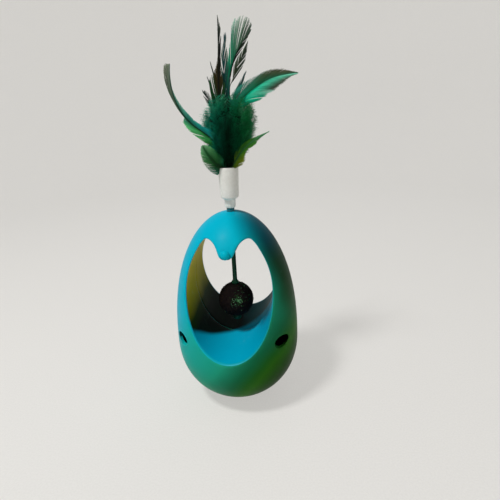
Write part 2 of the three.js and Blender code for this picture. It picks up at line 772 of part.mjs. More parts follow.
// Feathers, in shares of the plume's height. A path runs to the right, back and up from the cup's
// floor. The vane's half widths, left and right of the quill, stand beside shares of its length.
const feathers = {
  tall_feather: {
    pathShares: [
      [-0.008, -0.024, 0.3],
      [-0.015, -0.03, 0.5],
      [-0.018, -0.034, 0.62],
      [-0.003, -0.037, 0.8],
      [0.001, -0.04, 0.985],
    ],
    leftShares: [[0.4, 0], [0.45, 0.03], [0.505, 0.043], [0.545, 0.047], [0.6, 0.026], [0.71, 0.014], [0.845, 0.006], [1, 0.002]],
    rightShares: [[0.4, 0], [0.45, 0.02], [0.505, 0.03], [0.545, 0.028], [0.6, 0.015], [0.71, 0.011], [0.845, 0.006], [1, 0.002]],
    finish: "brownFeather",
  },
  slim_feather: {
    pathShares: [
      [0.004, 0, 0.3],
      [0.008, -0.006, 0.55],
      [0.016, -0.01, 0.8],
      [0.035, -0.012, 0.92],
    ],
    leftShares: [[0.5, 0], [0.56, 0.01], [0.66, 0.012], [0.76, 0.012], [0.88, 0.006], [1, 0.002]],
    rightShares: [[0.5, 0], [0.56, 0.012], [0.66, 0.02], [0.78, 0.024], [0.88, 0.014], [1, 0.003]],
    finish: "brownFeather",
  },
  crest_feather: {
    pathShares: [
      [0.022, 0.022, 0.3],
      [0.025, 0.026, 0.5],
      [0.034, 0.03, 0.67],
      [0.058, 0.034, 0.8],
      [0.08, 0.038, 0.9],
      [0.108, 0.042, 0.97],
    ],
    leftShares: [[0.5, 0], [0.55, 0.012], [0.65, 0.018], [0.7, 0.03], [0.76, 0.05], [0.84, 0.061], [0.92, 0.056], [0.96, 0.042], [1, 0]],
    rightShares: [[0.5, 0], [0.55, 0.008], [0.65, 0.012], [0.7, 0.03], [0.78, 0.06], [0.86, 0.075], [0.92, 0.074], [0.96, 0.05], [1, 0]],
    finish: "brownFeather",
  },
  right_feather: {
    pathShares: [
      [0.045, -0.014, 0.3],
      [0.069, -0.027, 0.445],
      [0.094, -0.033, 0.53],
      [0.124, -0.04, 0.57],
      [0.179, -0.047, 0.612],
      [0.286, -0.06, 0.66],
      [0.388, -0.073, 0.677],
      [0.438, -0.08, 0.68],
    ],
    leftShares: [[0.5, 0], [0.56, 0.048], [0.62, 0.058], [0.7, 0.056], [0.78, 0.06], [0.85, 0.05], [0.92, 0.028], [1, 0]],
    rightShares: [[0.5, 0], [0.55, 0.03], [0.6, 0.052], [0.65, 0.066], [0.72, 0.074], [0.78, 0.078], [0.85, 0.058], [0.92, 0.024], [1, 0]],
    finish: "brightFeather",
  },
  left_feather: {
    pathShares: [
      [-0.04, -0.02, 0.25],
      [-0.062, -0.036, 0.33],
      [-0.104, -0.042, 0.372],
      [-0.17, -0.049, 0.426],
      [-0.226, -0.055, 0.493],
      [-0.263, -0.061, 0.575],
      [-0.28, -0.068, 0.647],
      [-0.279, -0.074, 0.717],
      [-0.273, -0.08, 0.762],
    ],
    leftShares: [[0.3, 0], [0.36, 0.01], [0.4, 0.022], [0.47, 0.027], [0.53, 0.03], [0.57, 0.022], [0.61, 0.008], [0.7, 0.004],
      [0.75, 0.006], [0.79, 0.023], [0.84, 0.031], [0.9, 0.034], [0.98, 0.031], [1, 0.02]],
    rightShares: [[0.3, 0], [0.34, 0.01], [0.4, 0.03], [0.46, 0.036], [0.53, 0.032], [0.6, 0.028], [0.67, 0.028], [0.745, 0.024],
      [0.79, 0.015], [0.84, 0.006], [1, 0.003]],
    finish: "darkFeather",
  },
  low_left_feather: {
    pathShares: [
      [-0.026, -0.034, 0.19],
      [-0.04, -0.058, 0.235],
      [-0.07, -0.07, 0.268],
      [-0.108, -0.072, 0.28],
      [-0.142, -0.07, 0.272],
    ],
    leftShares: [[0.48, 0], [0.53, 0.045], [0.6, 0.06], [0.75, 0.062], [0.86, 0.052], [0.94, 0.03], [1, 0.004]],
    rightShares: [[0.5, 0], [0.6, 0.015], [0.75, 0.022], [0.9, 0.014], [1, 0.002]],
    finish: "darkFeather",
  },
  low_right_feather: {
    pathShares: [
      [0.03, -0.032, 0.19],
      [0.055, -0.05, 0.235],
      [0.1, -0.056, 0.28],
      [0.17, -0.05, 0.33],
      [0.258, -0.04, 0.373],
    ],
    leftShares: [[0.45, 0], [0.55, 0.028], [0.7, 0.028], [0.8, 0.015], [0.9, 0.007], [1, 0.002]],
    rightShares: [[0.45, 0], [0.55, 0.038], [0.62, 0.034], [0.68, 0.026], [0.76, 0.034], [0.82, 0.02], [0.9, 0.009], [1, 0.002]],
    finish: "darkFeather",
  },
  high_hackle: {
    pathShares: [
      [-0.012, 0.014, 0.3],
      [-0.02, 0.01, 0.5],
      [-0.042, 0.004, 0.66],
      [-0.067, -0.004, 0.781],
    ],
    leftShares: [[0.55, 0], [0.64, 0.012], [0.76, 0.012], [0.9, 0.006], [1, 0.002]],
    rightShares: [[0.55, 0], [0.64, 0.012], [0.76, 0.012], [0.9, 0.006], [1, 0.002]],
    finish: "darkFeather",
  },
  middle_hackle: {
    pathShares: [
      [-0.032, 0.012, 0.3],
      [-0.045, 0.012, 0.5],
      [-0.064, 0.01, 0.6],
      [-0.092, 0, 0.7],
    ],
    leftShares: [[0.55, 0], [0.64, 0.013], [0.76, 0.013], [0.9, 0.006], [1, 0.002]],
    rightShares: [[0.55, 0], [0.64, 0.012], [0.76, 0.012], [0.9, 0.006], [1, 0.002]],
    finish: "darkFeather",
  },
  low_hackle: {
    pathShares: [
      [-0.03, 0.035, 0.3],
      [-0.06, 0.034, 0.45],
      [-0.09, 0.024, 0.55],
      [-0.121, 0.01, 0.622],
    ],
    leftShares: [[0.55, 0], [0.64, 0.015], [0.76, 0.014], [0.9, 0.006], [1, 0.002]],
    rightShares: [[0.55, 0], [0.64, 0.012], [0.76, 0.012], [0.9, 0.006], [1, 0.002]],
    finish: "darkFeather",
  },
  right_hackle: {
    pathShares: [
      [0.034, 0.02, 0.3],
      [0.05, 0.016, 0.5],
      [0.08, 0.01, 0.6],
      [0.142, 0, 0.716],
    ],
    leftShares: [[0.55, 0], [0.64, 0.012], [0.76, 0.012], [0.9, 0.006], [1, 0.002]],
    rightShares: [[0.55, 0], [0.64, 0.013], [0.76, 0.013], [0.9, 0.006], [1, 0.002]],
    finish: "darkFeather",
  },
};

// Line of a feather's quill and rachis, straight up through the cup and then along its path
function featherLine(name) {
  const [ring, degrees] = quillPlaces[name];
  const turn = THREE.MathUtils.degToRad(degrees);
  const x = ring * Math.cos(turn);
  const y = ring * Math.sin(turn);
  const points = [new THREE.Vector3(x, y, quillZ), new THREE.Vector3(x, y, cupTopZ - plugRecess)];
  for (const [dx, dy, dz] of feathers[name].pathShares) {
    points.push(new THREE.Vector3(dx, dy, dz).multiplyScalar(plumeHeight).setZ(cupFloorZ + dz * plumeHeight));
  }
  return new THREE.CatmullRomCurve3(points);
}

// Half width of a vane at a share of the feather's length
function vaneWidth(widthShares, share) {
  const next = widthShares.findIndex(([along]) => along >= share);
  if (next < 1) return 0;
  const [lowShare, lowWidth] = widthShares[next - 1];
  const [highShare, highWidth] = widthShares[next];
  const part = (share - lowShare) / (highShare - lowShare);
  return THREE.MathUtils.lerp(lowWidth, highWidth, part) * plumeHeight;
}

// A feather from its quill to its tip: lens-shaped sections that face the front. With room all
// round it, the same form cuts the way for the feather through the tuft and the glue.
function featherBody(name, room = 0) {
  const { leftShares, rightShares } = feathers[name];
  const line = featherLine(name);
  const rings = [];
  for (let i = 0; i <= featherStations; i += 1) {
    const share = i / featherStations;
    const place = line.getPointAt(share);
    if (i === 0) place.z -= room;
    const along = line.getTangentAt(share);
    const across = along.clone().cross(new THREE.Vector3(0, -1, 0)).normalize();
    const facing = new THREE.Vector3().crossVectors(across, along);
    const rachis = quillRadius * (1 - (1 - tipShare) * share ** taperPower);
    const left = Math.max(rachis, vaneWidth(leftShares, share)) + room;
    const right = Math.max(rachis, vaneWidth(rightShares, share)) + room;
    rings.push([
      place.clone().addScaledVector(across, right).addScaledVector(facing, right * -vaneCupShare),
      place.clone().addScaledVector(facing, rachis + room),
      place.clone().addScaledVector(across, -left).addScaledVector(facing, left * -vaneCupShare),
      place.clone().addScaledVector(facing, -rachis - room),
    ]);
  }
  return loft(rings, fan(4));
}

// Everything that the feathers' ways take out of the tuft and the glue
function featherWays() {
  return Object.keys(feathers)
    .map((name) => featherBody(name, featherRoom))
    .reduce((ways, way) => ways.add(way));
}

const ways = featherWays();

// Plug of set glue in the cup, domed a little, round the quills
function gluePlug() {
  const lowZ = cupFloorZ + clearance;
  const topZ = cupTopZ - plugRecess;
  const lowRadius = cupBottomRadius - cupWall - clearance;
  return revolve(
    [
      [0, lowZ],
      [lowRadius, lowZ],
      [lowRadius, topZ - plugDome],
      [0, topZ],
    ],
    smallSides,
  ).subtract(ways);
}

// Levels of the tuft: shares of its height give each one's height, middle and half widths
const tuftShares = [
  { up: 0.064, right: 0.005, wide: 0.17, deep: 0.16 },
  { up: 0.177, right: 0.007, wide: 0.255, deep: 0.227 },
  { up: 0.36, right: 0.045, wide: 0.33, deep: 0.284 },
  { up: 0.564, right: 0.061, wide: 0.364, deep: 0.307 },
  { up: 0.745, right: 0.073, wide: 0.341, deep: 0.284 },
  { up: 0.893, right: 0.08, wide: 0.26, deep: 0.205 },
  { up: 1, right: 0.08, wide: 0.125, deep: 0.102 },
];

// One ring of points of the tuft, with shallow lobes
function tuftRing(z, middleX, halfWidth, halfDepth, lobeShare, twist) {
  return Array.from({ length: tuftSides }, (_, i) => {
    const turn = (2 * Math.PI * i) / tuftSides;
    const lobe = 1 + lobeShare * Math.cos(tuftLobes * turn + twist);
    return new THREE.Vector3(middleX + halfWidth * lobe * Math.cos(turn), halfDepth * lobe * Math.sin(turn), z);
  });
}

// Soft mass of the tuft: a round root in the sleeve's mouth, then lobes that wind upwards
function marabouTuft() {
  const seatRadius = cupBottomRadius - cupWall;
  const rootRings = [cupTopZ - tuftSeat, cupTopZ + tuftRimRise].map((z) =>
    tuftRing(z, 0, seatRadius, seatRadius, 0, 0),
  );
  const rings = tuftShares.map(({ up, right, wide, deep }, row) =>
    tuftRing(
      cupTopZ + up * tuftHeight,
      right * tuftHeight,
      wide * tuftHeight,
      deep * tuftHeight,
      lobeDepthShare,
      row * lobeTwist,
    ),
  );
  return loft([...rootRings, ...rings], fan(tuftSides)).subtract(ways);
}

// Hangs each finished solid in the scene under its own name
const toy = new THREE.Group();
toy.position.z = -footDepth;

function place(name, body, look) {
  const mesh = new THREE.Mesh(geometryOf(body), new THREE.MeshStandardMaterial(finish[look]));
  mesh.name = name;
  toy.add(mesh);
}

place("front_shell", frontShell(), "shell");
place("back_shell", backShell(), "shell");
place("counterweight", counterweight(), "iron");
place("weight_cover", weightCover(), "cover");
for (const [side, x] of Object.entries(screwPlaces)) place(`shell_screw_${side}`, shellScrew(x), "steel");
place("pivot_pin", pivotPin(), "pin");
place("hanging_stem", hangingStem(), "stem");
place("stem_end_cap", stemEndCap(), "stem");
place("catnip_ball", catnipBall(), "catnip");
place("top_peg", topPeg(), "stem");
place("feather_sleeve", featherSleeve(), "sleeve");
place("glue_plug", gluePlug(), "glue");
place("marabou_tuft", marabouTuft(), "fluff");
for (const name of Object.keys(feathers)) place(name, featherBody(name), feathers[name].finish);

const group = new THREE.Group();
group.add(toy);
export default group;
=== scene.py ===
"""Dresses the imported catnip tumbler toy: a weighted egg with a drop-shaped tunnel, a catnip ball
that swings in it, and a feather head that turns on the crown.

Sizes are millimetres above the egg's lowest point, as the maker would give them. The finished
meshes are in metres in the CAD model's frame, whose floor is at the flat of the egg's foot.
"""

import logging
import math
import random
from collections.abc import Callable, Sequence
from dataclasses import dataclass, field
from enum import Enum
from typing import Any

import bpy
from mathutils import Matrix, Vector


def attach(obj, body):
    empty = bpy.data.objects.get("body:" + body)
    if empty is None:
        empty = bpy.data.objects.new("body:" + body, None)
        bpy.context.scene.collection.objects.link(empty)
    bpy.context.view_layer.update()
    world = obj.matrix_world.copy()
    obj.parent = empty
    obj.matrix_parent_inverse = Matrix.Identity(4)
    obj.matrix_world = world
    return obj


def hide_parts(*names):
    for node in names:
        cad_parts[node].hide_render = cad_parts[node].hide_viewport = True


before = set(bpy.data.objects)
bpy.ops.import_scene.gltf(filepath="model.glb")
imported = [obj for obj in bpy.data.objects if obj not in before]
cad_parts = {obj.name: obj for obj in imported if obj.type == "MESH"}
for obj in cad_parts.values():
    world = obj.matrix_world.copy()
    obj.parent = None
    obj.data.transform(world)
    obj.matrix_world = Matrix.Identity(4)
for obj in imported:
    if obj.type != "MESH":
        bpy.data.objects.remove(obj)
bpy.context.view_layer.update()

log = logging.getLogger("catnip_tumbler")

MM = 0.001
FOOT_DEPTH = 0.5

# Measures that more than one piece uses, in millimetres
CLEARANCE = 0.3
PAST_SKIN = 60.0
SCREW_X = 24.0
SCREW_Z = 26.0
PIVOT_Z = 111.8
PIN_SINK = 0.2
BALL_Z = 70.0
BALL_RADIUS = 11.5
CUP_FLOOR_Z = 141.3
CUP_TOP_Z = 159.0

# Turns that lay a piece's Z axis to the back or to the front
TO_BACK = (-90, 0, 0)
TO_FRONT = (90, 0, 0)

TONE = "barb_tone"
VANE = "vane"
ABS_IOR = 1.52

Span = tuple[float, float]
Point = tuple[float, float, float]
Profile = Sequence[Span]
Stops = tuple[tuple[float, str], ...]
BarbKind = tuple[float, int, float, float]
Row = list[Vector]
Piece = bpy.types.Object
Material = bpy.types.Material
Tree = bpy.types.NodeTree
Socket = bpy.types.NodeSocket


class Side(Enum):
    """Which half of the egg a piece belongs to: the value is the sign of its Y."""

    FRONT = -1
    BACK = 1


# Small tools for meshes


def to_frame(point: Vector) -> Vector:
    """Turns a maker's point, in millimetres above the egg's lowest point, into the CAD frame."""
    return Vector((point.x, point.y, point.z - FOOT_DEPTH)) * MM


def lift(spot: Vector, depth: float) -> Vector:
    """The point at a depth before or behind a spot of the seam's plane, which is given in X and Z."""
    return Vector((spot.x, depth, spot.y))


def held(share: float) -> float:
    """The share, held between 0 and 1."""
    return min(1.0, max(0.0, share))


def stray(chance: random.Random, spread_mm: float) -> Vector:
    """A vector with a random part along each axis."""
    return Vector((chance.gauss(0, spread_mm), chance.gauss(0, spread_mm), chance.gauss(0, spread_mm)))


def bow(a: Vector, b: Vector, c: Vector, share: float) -> Vector:
    """Point at a share of a curve that leaves a towards b and comes to c from b."""
    return a * (1 - share) ** 2 + b * (2 * share * (1 - share)) + c * share**2


def band(here: int, there: int, count: int) -> list[tuple[int, ...]]:
    """The faces between two rings of as many corners, of which the first corners are given."""
    pairs = [(k, (k + 1) % count) for k in range(count)]
    return [(here + k, here + m, there + m, there + k) for k, m in pairs]


def link(name: str, corners: Sequence[Sequence[float]], faces: Sequence[Sequence[int]]) -> Piece:
    """Makes a piece from corners in metres and faces, and puts it in the scene.

    Args:
        name: The piece's name.
        corners: The place of each corner.
        faces: The numbers of each face's corners.

    Returns:
        The new piece.
    """
    mesh = bpy.data.meshes.new(name)
    mesh.from_pydata([tuple(corner) for corner in corners], [], faces)
    piece = bpy.data.objects.new(name, mesh)
    bpy.context.scene.collection.objects.link(piece)
    return piece


def set_tones(piece: Piece, tones: Sequence[float]) -> None:
    """Gives each corner of a piece its tone, from 0 to 1, which the dye reads."""
    piece.data.attributes.new(TONE, "FLOAT", "POINT").data.foreach_set("value", tones)


def deselect() -> None:
    """Goes back to object mode with nothing selected, so that an operator acts on its own piece."""
    if bpy.context.object and bpy.context.object.mode != "OBJECT":
        bpy.ops.object.mode_set(mode="OBJECT")
    bpy.ops.object.select_all(action="DESELECT")


def pick(piece: Piece) -> Piece:
    """Selects one piece alone and makes it active.

    Args:
        piece: The object to work on.

    Returns:
        The same object.
    """
    deselect()
    piece.select_set(True)
    bpy.context.view_layer.objects.active = piece
    return piece


def finish_modifier(piece: Piece, kind: str, **settings: Any) -> None:
    """Adds a modifier with its settings and applies it.

    Args:
        piece: The object that gets it.
        kind: Blender's name of the modifier's type.
        **settings: The modifier's properties by name.
    """
    pick(piece)
    modifier = piece.modifiers.new(kind.lower(), kind)
    for name, value in settings.items():
        setattr(modifier, name, value)
    bpy.ops.object.modifier_apply(modifier=modifier.name)


def cut(piece: Piece, tool: Piece, operation: str = "DIFFERENCE") -> None:
    """Cuts, joins or trims a piece with a tool, and throws the tool away.

    Args:
        piece: The object that is worked on.
        tool: The closed object that cuts it.
        operation: DIFFERENCE, UNION or INTERSECT.
    """
    finish_modifier(piece, "BOOLEAN", object=tool, operation=operation, solver="EXACT")
    bpy.data.objects.remove(tool)


def smooth(piece: Piece, degrees: float = 35.0) -> None:
    """Shades a piece smooth, with sharp edges past an angle.

    Args:
        piece: The object to shade.
        degrees: The angle between faces from which an edge stays sharp.
    """
    pick(piece)
    bpy.ops.object.shade_smooth_by_angle(angle=math.radians(degrees))


def turn(name: str, profile: Profile, sides: int = 64) -> Piece:
    """Turns a round piece on the Z axis, as on a lathe, by extruding and scaling its end face.

    Args:
        name: The piece's name.
        profile: Radius and height of each ring, in millimetres, from the first end to the last.
        sides: How many faces go round.

    Returns:
        The closed piece, in metres, with its axis on Z.
    """
    first_radius, first_height = profile[0]
    deselect()
    bpy.ops.mesh.primitive_circle_add(
        vertices=sides, radius=first_radius * MM, fill_type="NGON", location=(0, 0, first_height * MM)
    )
    piece = bpy.context.object
    piece.name = name
    bpy.ops.object.transform_apply()
    bpy.ops.object.mode_set(mode="EDIT")
    bpy.ops.mesh.select_mode(type="FACE")
    bpy.ops.mesh.select_all(action="SELECT")
    for (radius, height), (next_radius, next_height) in zip(profile, profile[1:]):
        rise = (next_height - height) * MM
        share = next_radius / radius
        bpy.ops.mesh.extrude_region_move(TRANSFORM_OT_translate={"value": (0, 0, rise)})
        bpy.ops.transform.resize(value=(share, share, 1), center_override=(0, 0, next_height * MM))
    bpy.ops.mesh.select_all(action="SELECT")
    bpy.ops.mesh.normals_make_consistent(inside=False)
    bpy.ops.object.mode_set(mode="OBJECT")
    return piece


def rod(name: str, radius: float, low: float, high: float, sides: int) -> Piece:
    """Makes a straight round rod on the Z axis between two heights, in millimetres."""
    return turn(name, [(radius, low), (radius, high)], sides)


def box(name: str, low: Point, high: Point) -> Piece:
    """Makes a block between two corners, in millimetres, as a cutting tool."""
    deselect()
    middle = [(a + b) / 2 * MM for a, b in zip(low, high)]
    bpy.ops.mesh.primitive_cube_add(size=1, location=middle)
    piece = bpy.context.object
    piece.name = name
    piece.scale = [(b - a) * MM for a, b in zip(low, high)]
    bpy.ops.object.transform_apply()
    return piece


def lay(piece: Piece, turns: Point = (0, 0, 0), shift: Point = (0, 0, 0)) -> Piece:
    """Turns a piece in place, moves it, and leaves its place in its mesh.

    Args:
        piece: The object to lay.
        turns: Degrees round X, Y and Z, in that order.
        shift: Millimetres along each axis.

    Returns:
        The same object, at the origin and unturned.
    """
    pick(piece)
    piece.rotation_euler = [math.radians(angle) for angle in turns]
    piece.location = [step * MM for step in shift]
    bpy.ops.object.transform_apply()
    return piece


def skin(name: str, rows: Sequence[Row], closed: bool, finish_at: Callable[[int], int]) -> Piece:
    """Skins rows of points that have as many points each. Every row is a closed loop.

    This is the way for a form that no turned or extruded primitive gives: each loop is a section
    that is worked out from the real form, and the loops follow one another round it.

    Args:
        name: The piece's name.
        rows: Loops of points in the CAD frame, in metres.
        closed: True where the last row joins the first.
        finish_at: Gives the material slot of the faces that start at a place along a row.

    Returns:
        The closed piece.
    """
    count = len(rows[0])
    faces = []
    slots = []
    for i in range(len(rows) if closed else len(rows) - 1):
        faces += band(i * count, (i + 1) % len(rows) * count, count)
        slots += [finish_at(j) for j in range(count)]
    if not closed:
        last = (len(rows) - 1) * count
        faces.append(tuple(range(count))[::-1])
        faces.append(tuple(last + j for j in range(count)))
        slots += [0, 0]
    piece = link(name, [point for row in rows for point in row], faces)
    piece.data.polygons.foreach_set("material_index", slots)
    pick(piece)
    bpy.ops.object.mode_set(mode="EDIT")
    bpy.ops.mesh.select_all(action="SELECT")
    bpy.ops.mesh.normals_make_consistent(inside=False)
    bpy.ops.object.mode_set(mode="OBJECT")
    return piece


def evenly(points: Sequence[Vector], count: int) -> list[Vector]:
    """Spreads points evenly along a line of many short steps.

    Args:
        points: The line's points, of any dimension.
        count: How many points come back, both ends included.

    Returns:
        Points an equal length apart along the line.
    """
    lengths = [0.0]
    for a, b in zip(points, points[1:]):
        lengths.append(lengths[-1] + (b - a).length)
    even = []
    k = 0
    for i in range(count):
        target = lengths[-1] * i / (count - 1)
        while k < len(points) - 2 and lengths[k + 1] < target:
            k += 1
        span = lengths[k + 1] - lengths[k]
        share = (target - lengths[k]) / span if span else 0.0
        even.append(points[k].lerp(points[k + 1], held(share)))
    return even


def bezier(a: Point, b: Point, c: Point, d: Point, steps: int) -> list[Vector]:
    """Points on a cubic curve from a to d, without the first one."""
    points = []
    for i in range(1, steps + 1):
        t = i / steps
        s = 1 - t
        weights = (s**3, 3 * s * s * t, 3 * s * t * t, t**3)
        parts = [Vector(point) * weight for point, weight in zip((a, b, c, d), weights)]
        points.append(sum(parts, Vector((0.0,) * len(a))))
    return points


# Small tools for materials


def linear(colour: str) -> tuple[float, float, float, float]:
    """Turns an sRGB hex colour, such as #12a0b4, into the linear colour that a shader takes."""
    parts = [int(colour[i : i + 2], 16) / 255 for i in (1, 3, 5)]
    red, green, blue = (c / 12.92 if c <= 0.04045 else ((c + 0.055) / 1.055) ** 2.4 for c in parts)
    return red, green, blue, 1.0


def add_node(
    tree: Tree,
    kind: str,
    settings: dict[str, Any] | None = None,
    inputs: dict[Any, Any] | None = None,
    stops: Stops = (),
) -> bpy.types.Node:
    """Adds a shader node with its settings and with what its inputs hold or are linked to.

    Args:
        tree: The material's node tree.
        kind: Blender's name of the node's type, without its first word.
        settings: The node's properties by name.
        inputs: A value, or the socket to link, for each input by name or number.
        stops: Place and sRGB colour of each stop, on a colour ramp.

    Returns:
        The new node.
    """
    node = tree.nodes.new(f"ShaderNode{kind}")
    for name, value in (settings or {}).items():
        setattr(node, name, value)
    for name, value in (inputs or {}).items():
        if isinstance(value, Socket):
            tree.links.new(value, node.inputs[name])
        else:
            node.inputs[name].default_value = value
    if stops:
        elements = node.color_ramp.elements
        while len(elements) < len(stops):
            elements.new(1.0)
        for element, (place, colour) in zip(elements, stops):
            element.position = place
            element.color = linear(colour)
    return node


def coordinates(tree: Tree) -> Socket:
    """The place on the piece, in metres."""
    return add_node(tree, "TexCoord").outputs["Object"]


def strand_tone(tree: Tree) -> Socket:
    """How light a strand is, which the piece carries as an attribute."""
    return add_node(tree, "Attribute", {"attribute_name": TONE}).outputs["Fac"]


def noise(tree: Tree, place: Socket, size_mm: float, detail: float, roughness: float = 0.5) -> Socket:
    """A noise from 0 to 1 whose coarsest lumps have a size in millimetres."""
    inputs = {"Vector": place, "Scale": 1 / (size_mm * MM), "Detail": detail, "Roughness": roughness}
    return add_node(tree, "TexNoise", None, inputs).outputs["Fac"]


def spread(
    tree: Tree, value: Socket, source: Span, target: Span = (0.0, 1.0), course: str = "LINEAR"
) -> Socket:
    """Maps a value from one span to another, and holds it at both ends.

    Args:
        tree: The material's node tree.
        value: The value's socket.
        source: The span that the value comes from.
        target: The span that it goes to.
        course: LINEAR or SMOOTHSTEP.

    Returns:
        The socket of the mapped value.
    """
    inputs = {"Value": value, "From Min": source[0], "From Max": source[1]}
    inputs |= {"To Min": target[0], "To Max": target[1]}
    return add_node(tree, "MapRange", {"interpolation_type": course}, inputs).outputs[0]


def blend(tree: Tree, share: Any, first: Any, second: Any) -> Socket:
    """Mixes two colours by a share."""
    return add_node(tree, "Mix", {"data_type": "RGBA"}, {"Factor": share, 6: first, 7: second}).outputs[2]


def ramp(tree: Tree, share: Socket, stops: Stops) -> Socket:
    """The colour at a share of the way along a run of colours."""
    return add_node(tree, "ValToRGB", None, {0: share}, stops).outputs["Color"]


def reckon(tree: Tree, operation: str, *values: Any) -> Socket:
    """One step of arithmetic with numbers and sockets."""
    return add_node(tree, "Math", {"operation": operation}, dict(enumerate(values))).outputs[0]


def relief(
    tree: Tree, height: Socket, strength: float, depth_mm: float, under: Socket | None = None
) -> Socket:
    """Turns a height into bumps, which lie on other bumps where there are some."""
    inputs = {"Height": height, "Strength": strength, "Distance": depth_mm * MM}
    if under is not None:
        inputs["Normal"] = under
    return add_node(tree, "Bump", None, inputs).outputs[0]


def blank_material(name: str) -> tuple[Material, Tree]:
    """Makes a node material with nothing in it but its output."""
    material = bpy.data.materials.new(name)
    material.use_nodes = True
    tree = material.node_tree
    tree.nodes.clear()
    return material, tree


def close_material(tree: Tree, shader: dict[str, Any]) -> None:
    """Ends a material with its shader, whose inputs hold or are linked to what is given, and its output."""
    principled = add_node(tree, "BsdfPrincipled", None, shader)
    add_node(tree, "OutputMaterial", None, {"Surface": principled.outputs[0]})


# Finishes


@dataclass(frozen=True)
class Run:
    """A run along a direction between two places in millimetres, with the colours on its way."""

    direction: Point
    low: float
    high: float
    stops: Stops = ()

    def share(self, tree: Tree, place: Socket, warp: Socket, swell: float) -> Socket:
        """How far along the run a place lies, from 0 to 1, with an uneven front.

        Args:
            tree: The material's node tree.
            place: The place's coordinates.
            warp: A noise round one half, which moves the front to and fro.
            swell: How far the whole of that noise moves it, in metres.

        Returns:
            The socket that gives the share.
        """
        inputs = {0: place, 1: Vector(self.direction).normalized()}
        along = add_node(tree, "VectorMath", {"operation": "DOT_PRODUCT"}, inputs).outputs["Value"]
        shifted = reckon(tree, "MULTIPLY_ADD", warp, swell, along)
        ends = (self.low * MM + swell / 2, self.high * MM + swell / 2)
        return spread(tree, shifted, ends, course="LINEAR" if self.stops else "SMOOTHSTEP")


@dataclass(frozen=True)
class MouldedShell:
    """Satin injection-moulded cyan ABS whose colour runs from cyan over teal to green: the teal and
    green are painted shade and painted bounce light, and the lip's paler cyan a painted highlight.

    The eye gets soft highlights, a faint orange-peel from the tool's spark-eroded face and pale
    scuffs from rolling on the floor. A second run of colours takes over past the border: painted
    shade on the skin, a painted shadow and a painted reflection in the tunnel.
    """

    name: str
    main: Run
    other: Run | None = None
    border: Run | None = None
    roughness: float = 0.36
    peel_mm: float = 0.55
    swell_mm: float = 9.0
    scuff_mm: float = 14.0
    scuff_colour: str = "#bfe6e4"
    scuff_share: float = 0.07
    specular: float = 0.025

    def dye(self, tree: Tree, place: Socket) -> Socket:
        """The colour at a place, painted shade, shadow, reflection and highlight included."""
        wave = (noise(tree, place, self.swell_mm * 4, detail=2.0), self.swell_mm * MM)
        runs = [self.main] if self.other is None else [self.main, self.other]
        colours = [ramp(tree, run.share(tree, place, *wave), run.stops) for run in runs]
        if self.border is None:
            return colours[0]
        return blend(tree, self.border.share(tree, place, *wave), *colours)

    def material(self) -> Material:
        """Builds the node material."""
        material, tree = blank_material(self.name)
        place = coordinates(tree)
        scuff = noise(tree, place, self.scuff_mm, detail=8.0, roughness=0.72)
        scuffed = spread(tree, scuff, (0.6, 0.8), (0.0, self.scuff_share))
        gloss = spread(tree, scuff, (0.3, 0.75), (self.roughness - 0.05, self.roughness + 0.12))
        uneven = relief(tree, noise(tree, place, self.swell_mm, detail=1.0), strength=0.12, depth_mm=0.8)
        peel = noise(tree, place, self.peel_mm, detail=3.0)
        shader = {
            "Base Color": blend(tree, scuffed, self.dye(tree, place), linear(self.scuff_colour)),
            "Roughness": gloss,
            "Normal": relief(tree, peel, strength=0.1, depth_mm=0.05, under=uneven),
            "IOR": ABS_IOR,
            "Specular IOR Level": self.specular,
        }
        close_material(tree, shader)
        return material


@dataclass(frozen=True)
class Speckled:
    """A plain engineering finish with fine unevenness: colour, gloss and relief from one noise.

    It serves the small plastic and metal pieces, whose real surfaces differ in colour, grain size,
    gloss and metallic look but not in kind.
    """

    name: str
    dark: str
    light: str
    roughness: float
    grain_mm: float
    gloss_play: float = 0.1
    metallic: float = 0.0
    relief_mm: float = 0.03
    relief_strength: float = 0.2
    specular: float = 0.5

    def material(self) -> Material:
        """Builds the node material."""
        material, tree = blank_material(self.name)
        place = coordinates(tree)
        grain = noise(tree, place, self.grain_mm, detail=5.0, roughness=0.6)
        cloud = noise(tree, place, self.grain_mm * 9, detail=3.0)
        shade = reckon(tree, "MULTIPLY", grain, cloud)
        half = self.gloss_play / 2
        shader = {
            "Base Color": ramp(tree, shade, ((0.1, self.dark), (0.42, self.light))),
            "Roughness": spread(tree, cloud, (0.3, 0.7), (self.roughness - half, self.roughness + half)),
            "Normal": relief(tree, grain, self.relief_strength, self.relief_mm),
            "Metallic": self.metallic,
            "Specular IOR Level": self.specular,
        }
        close_material(tree, shader)
        return material


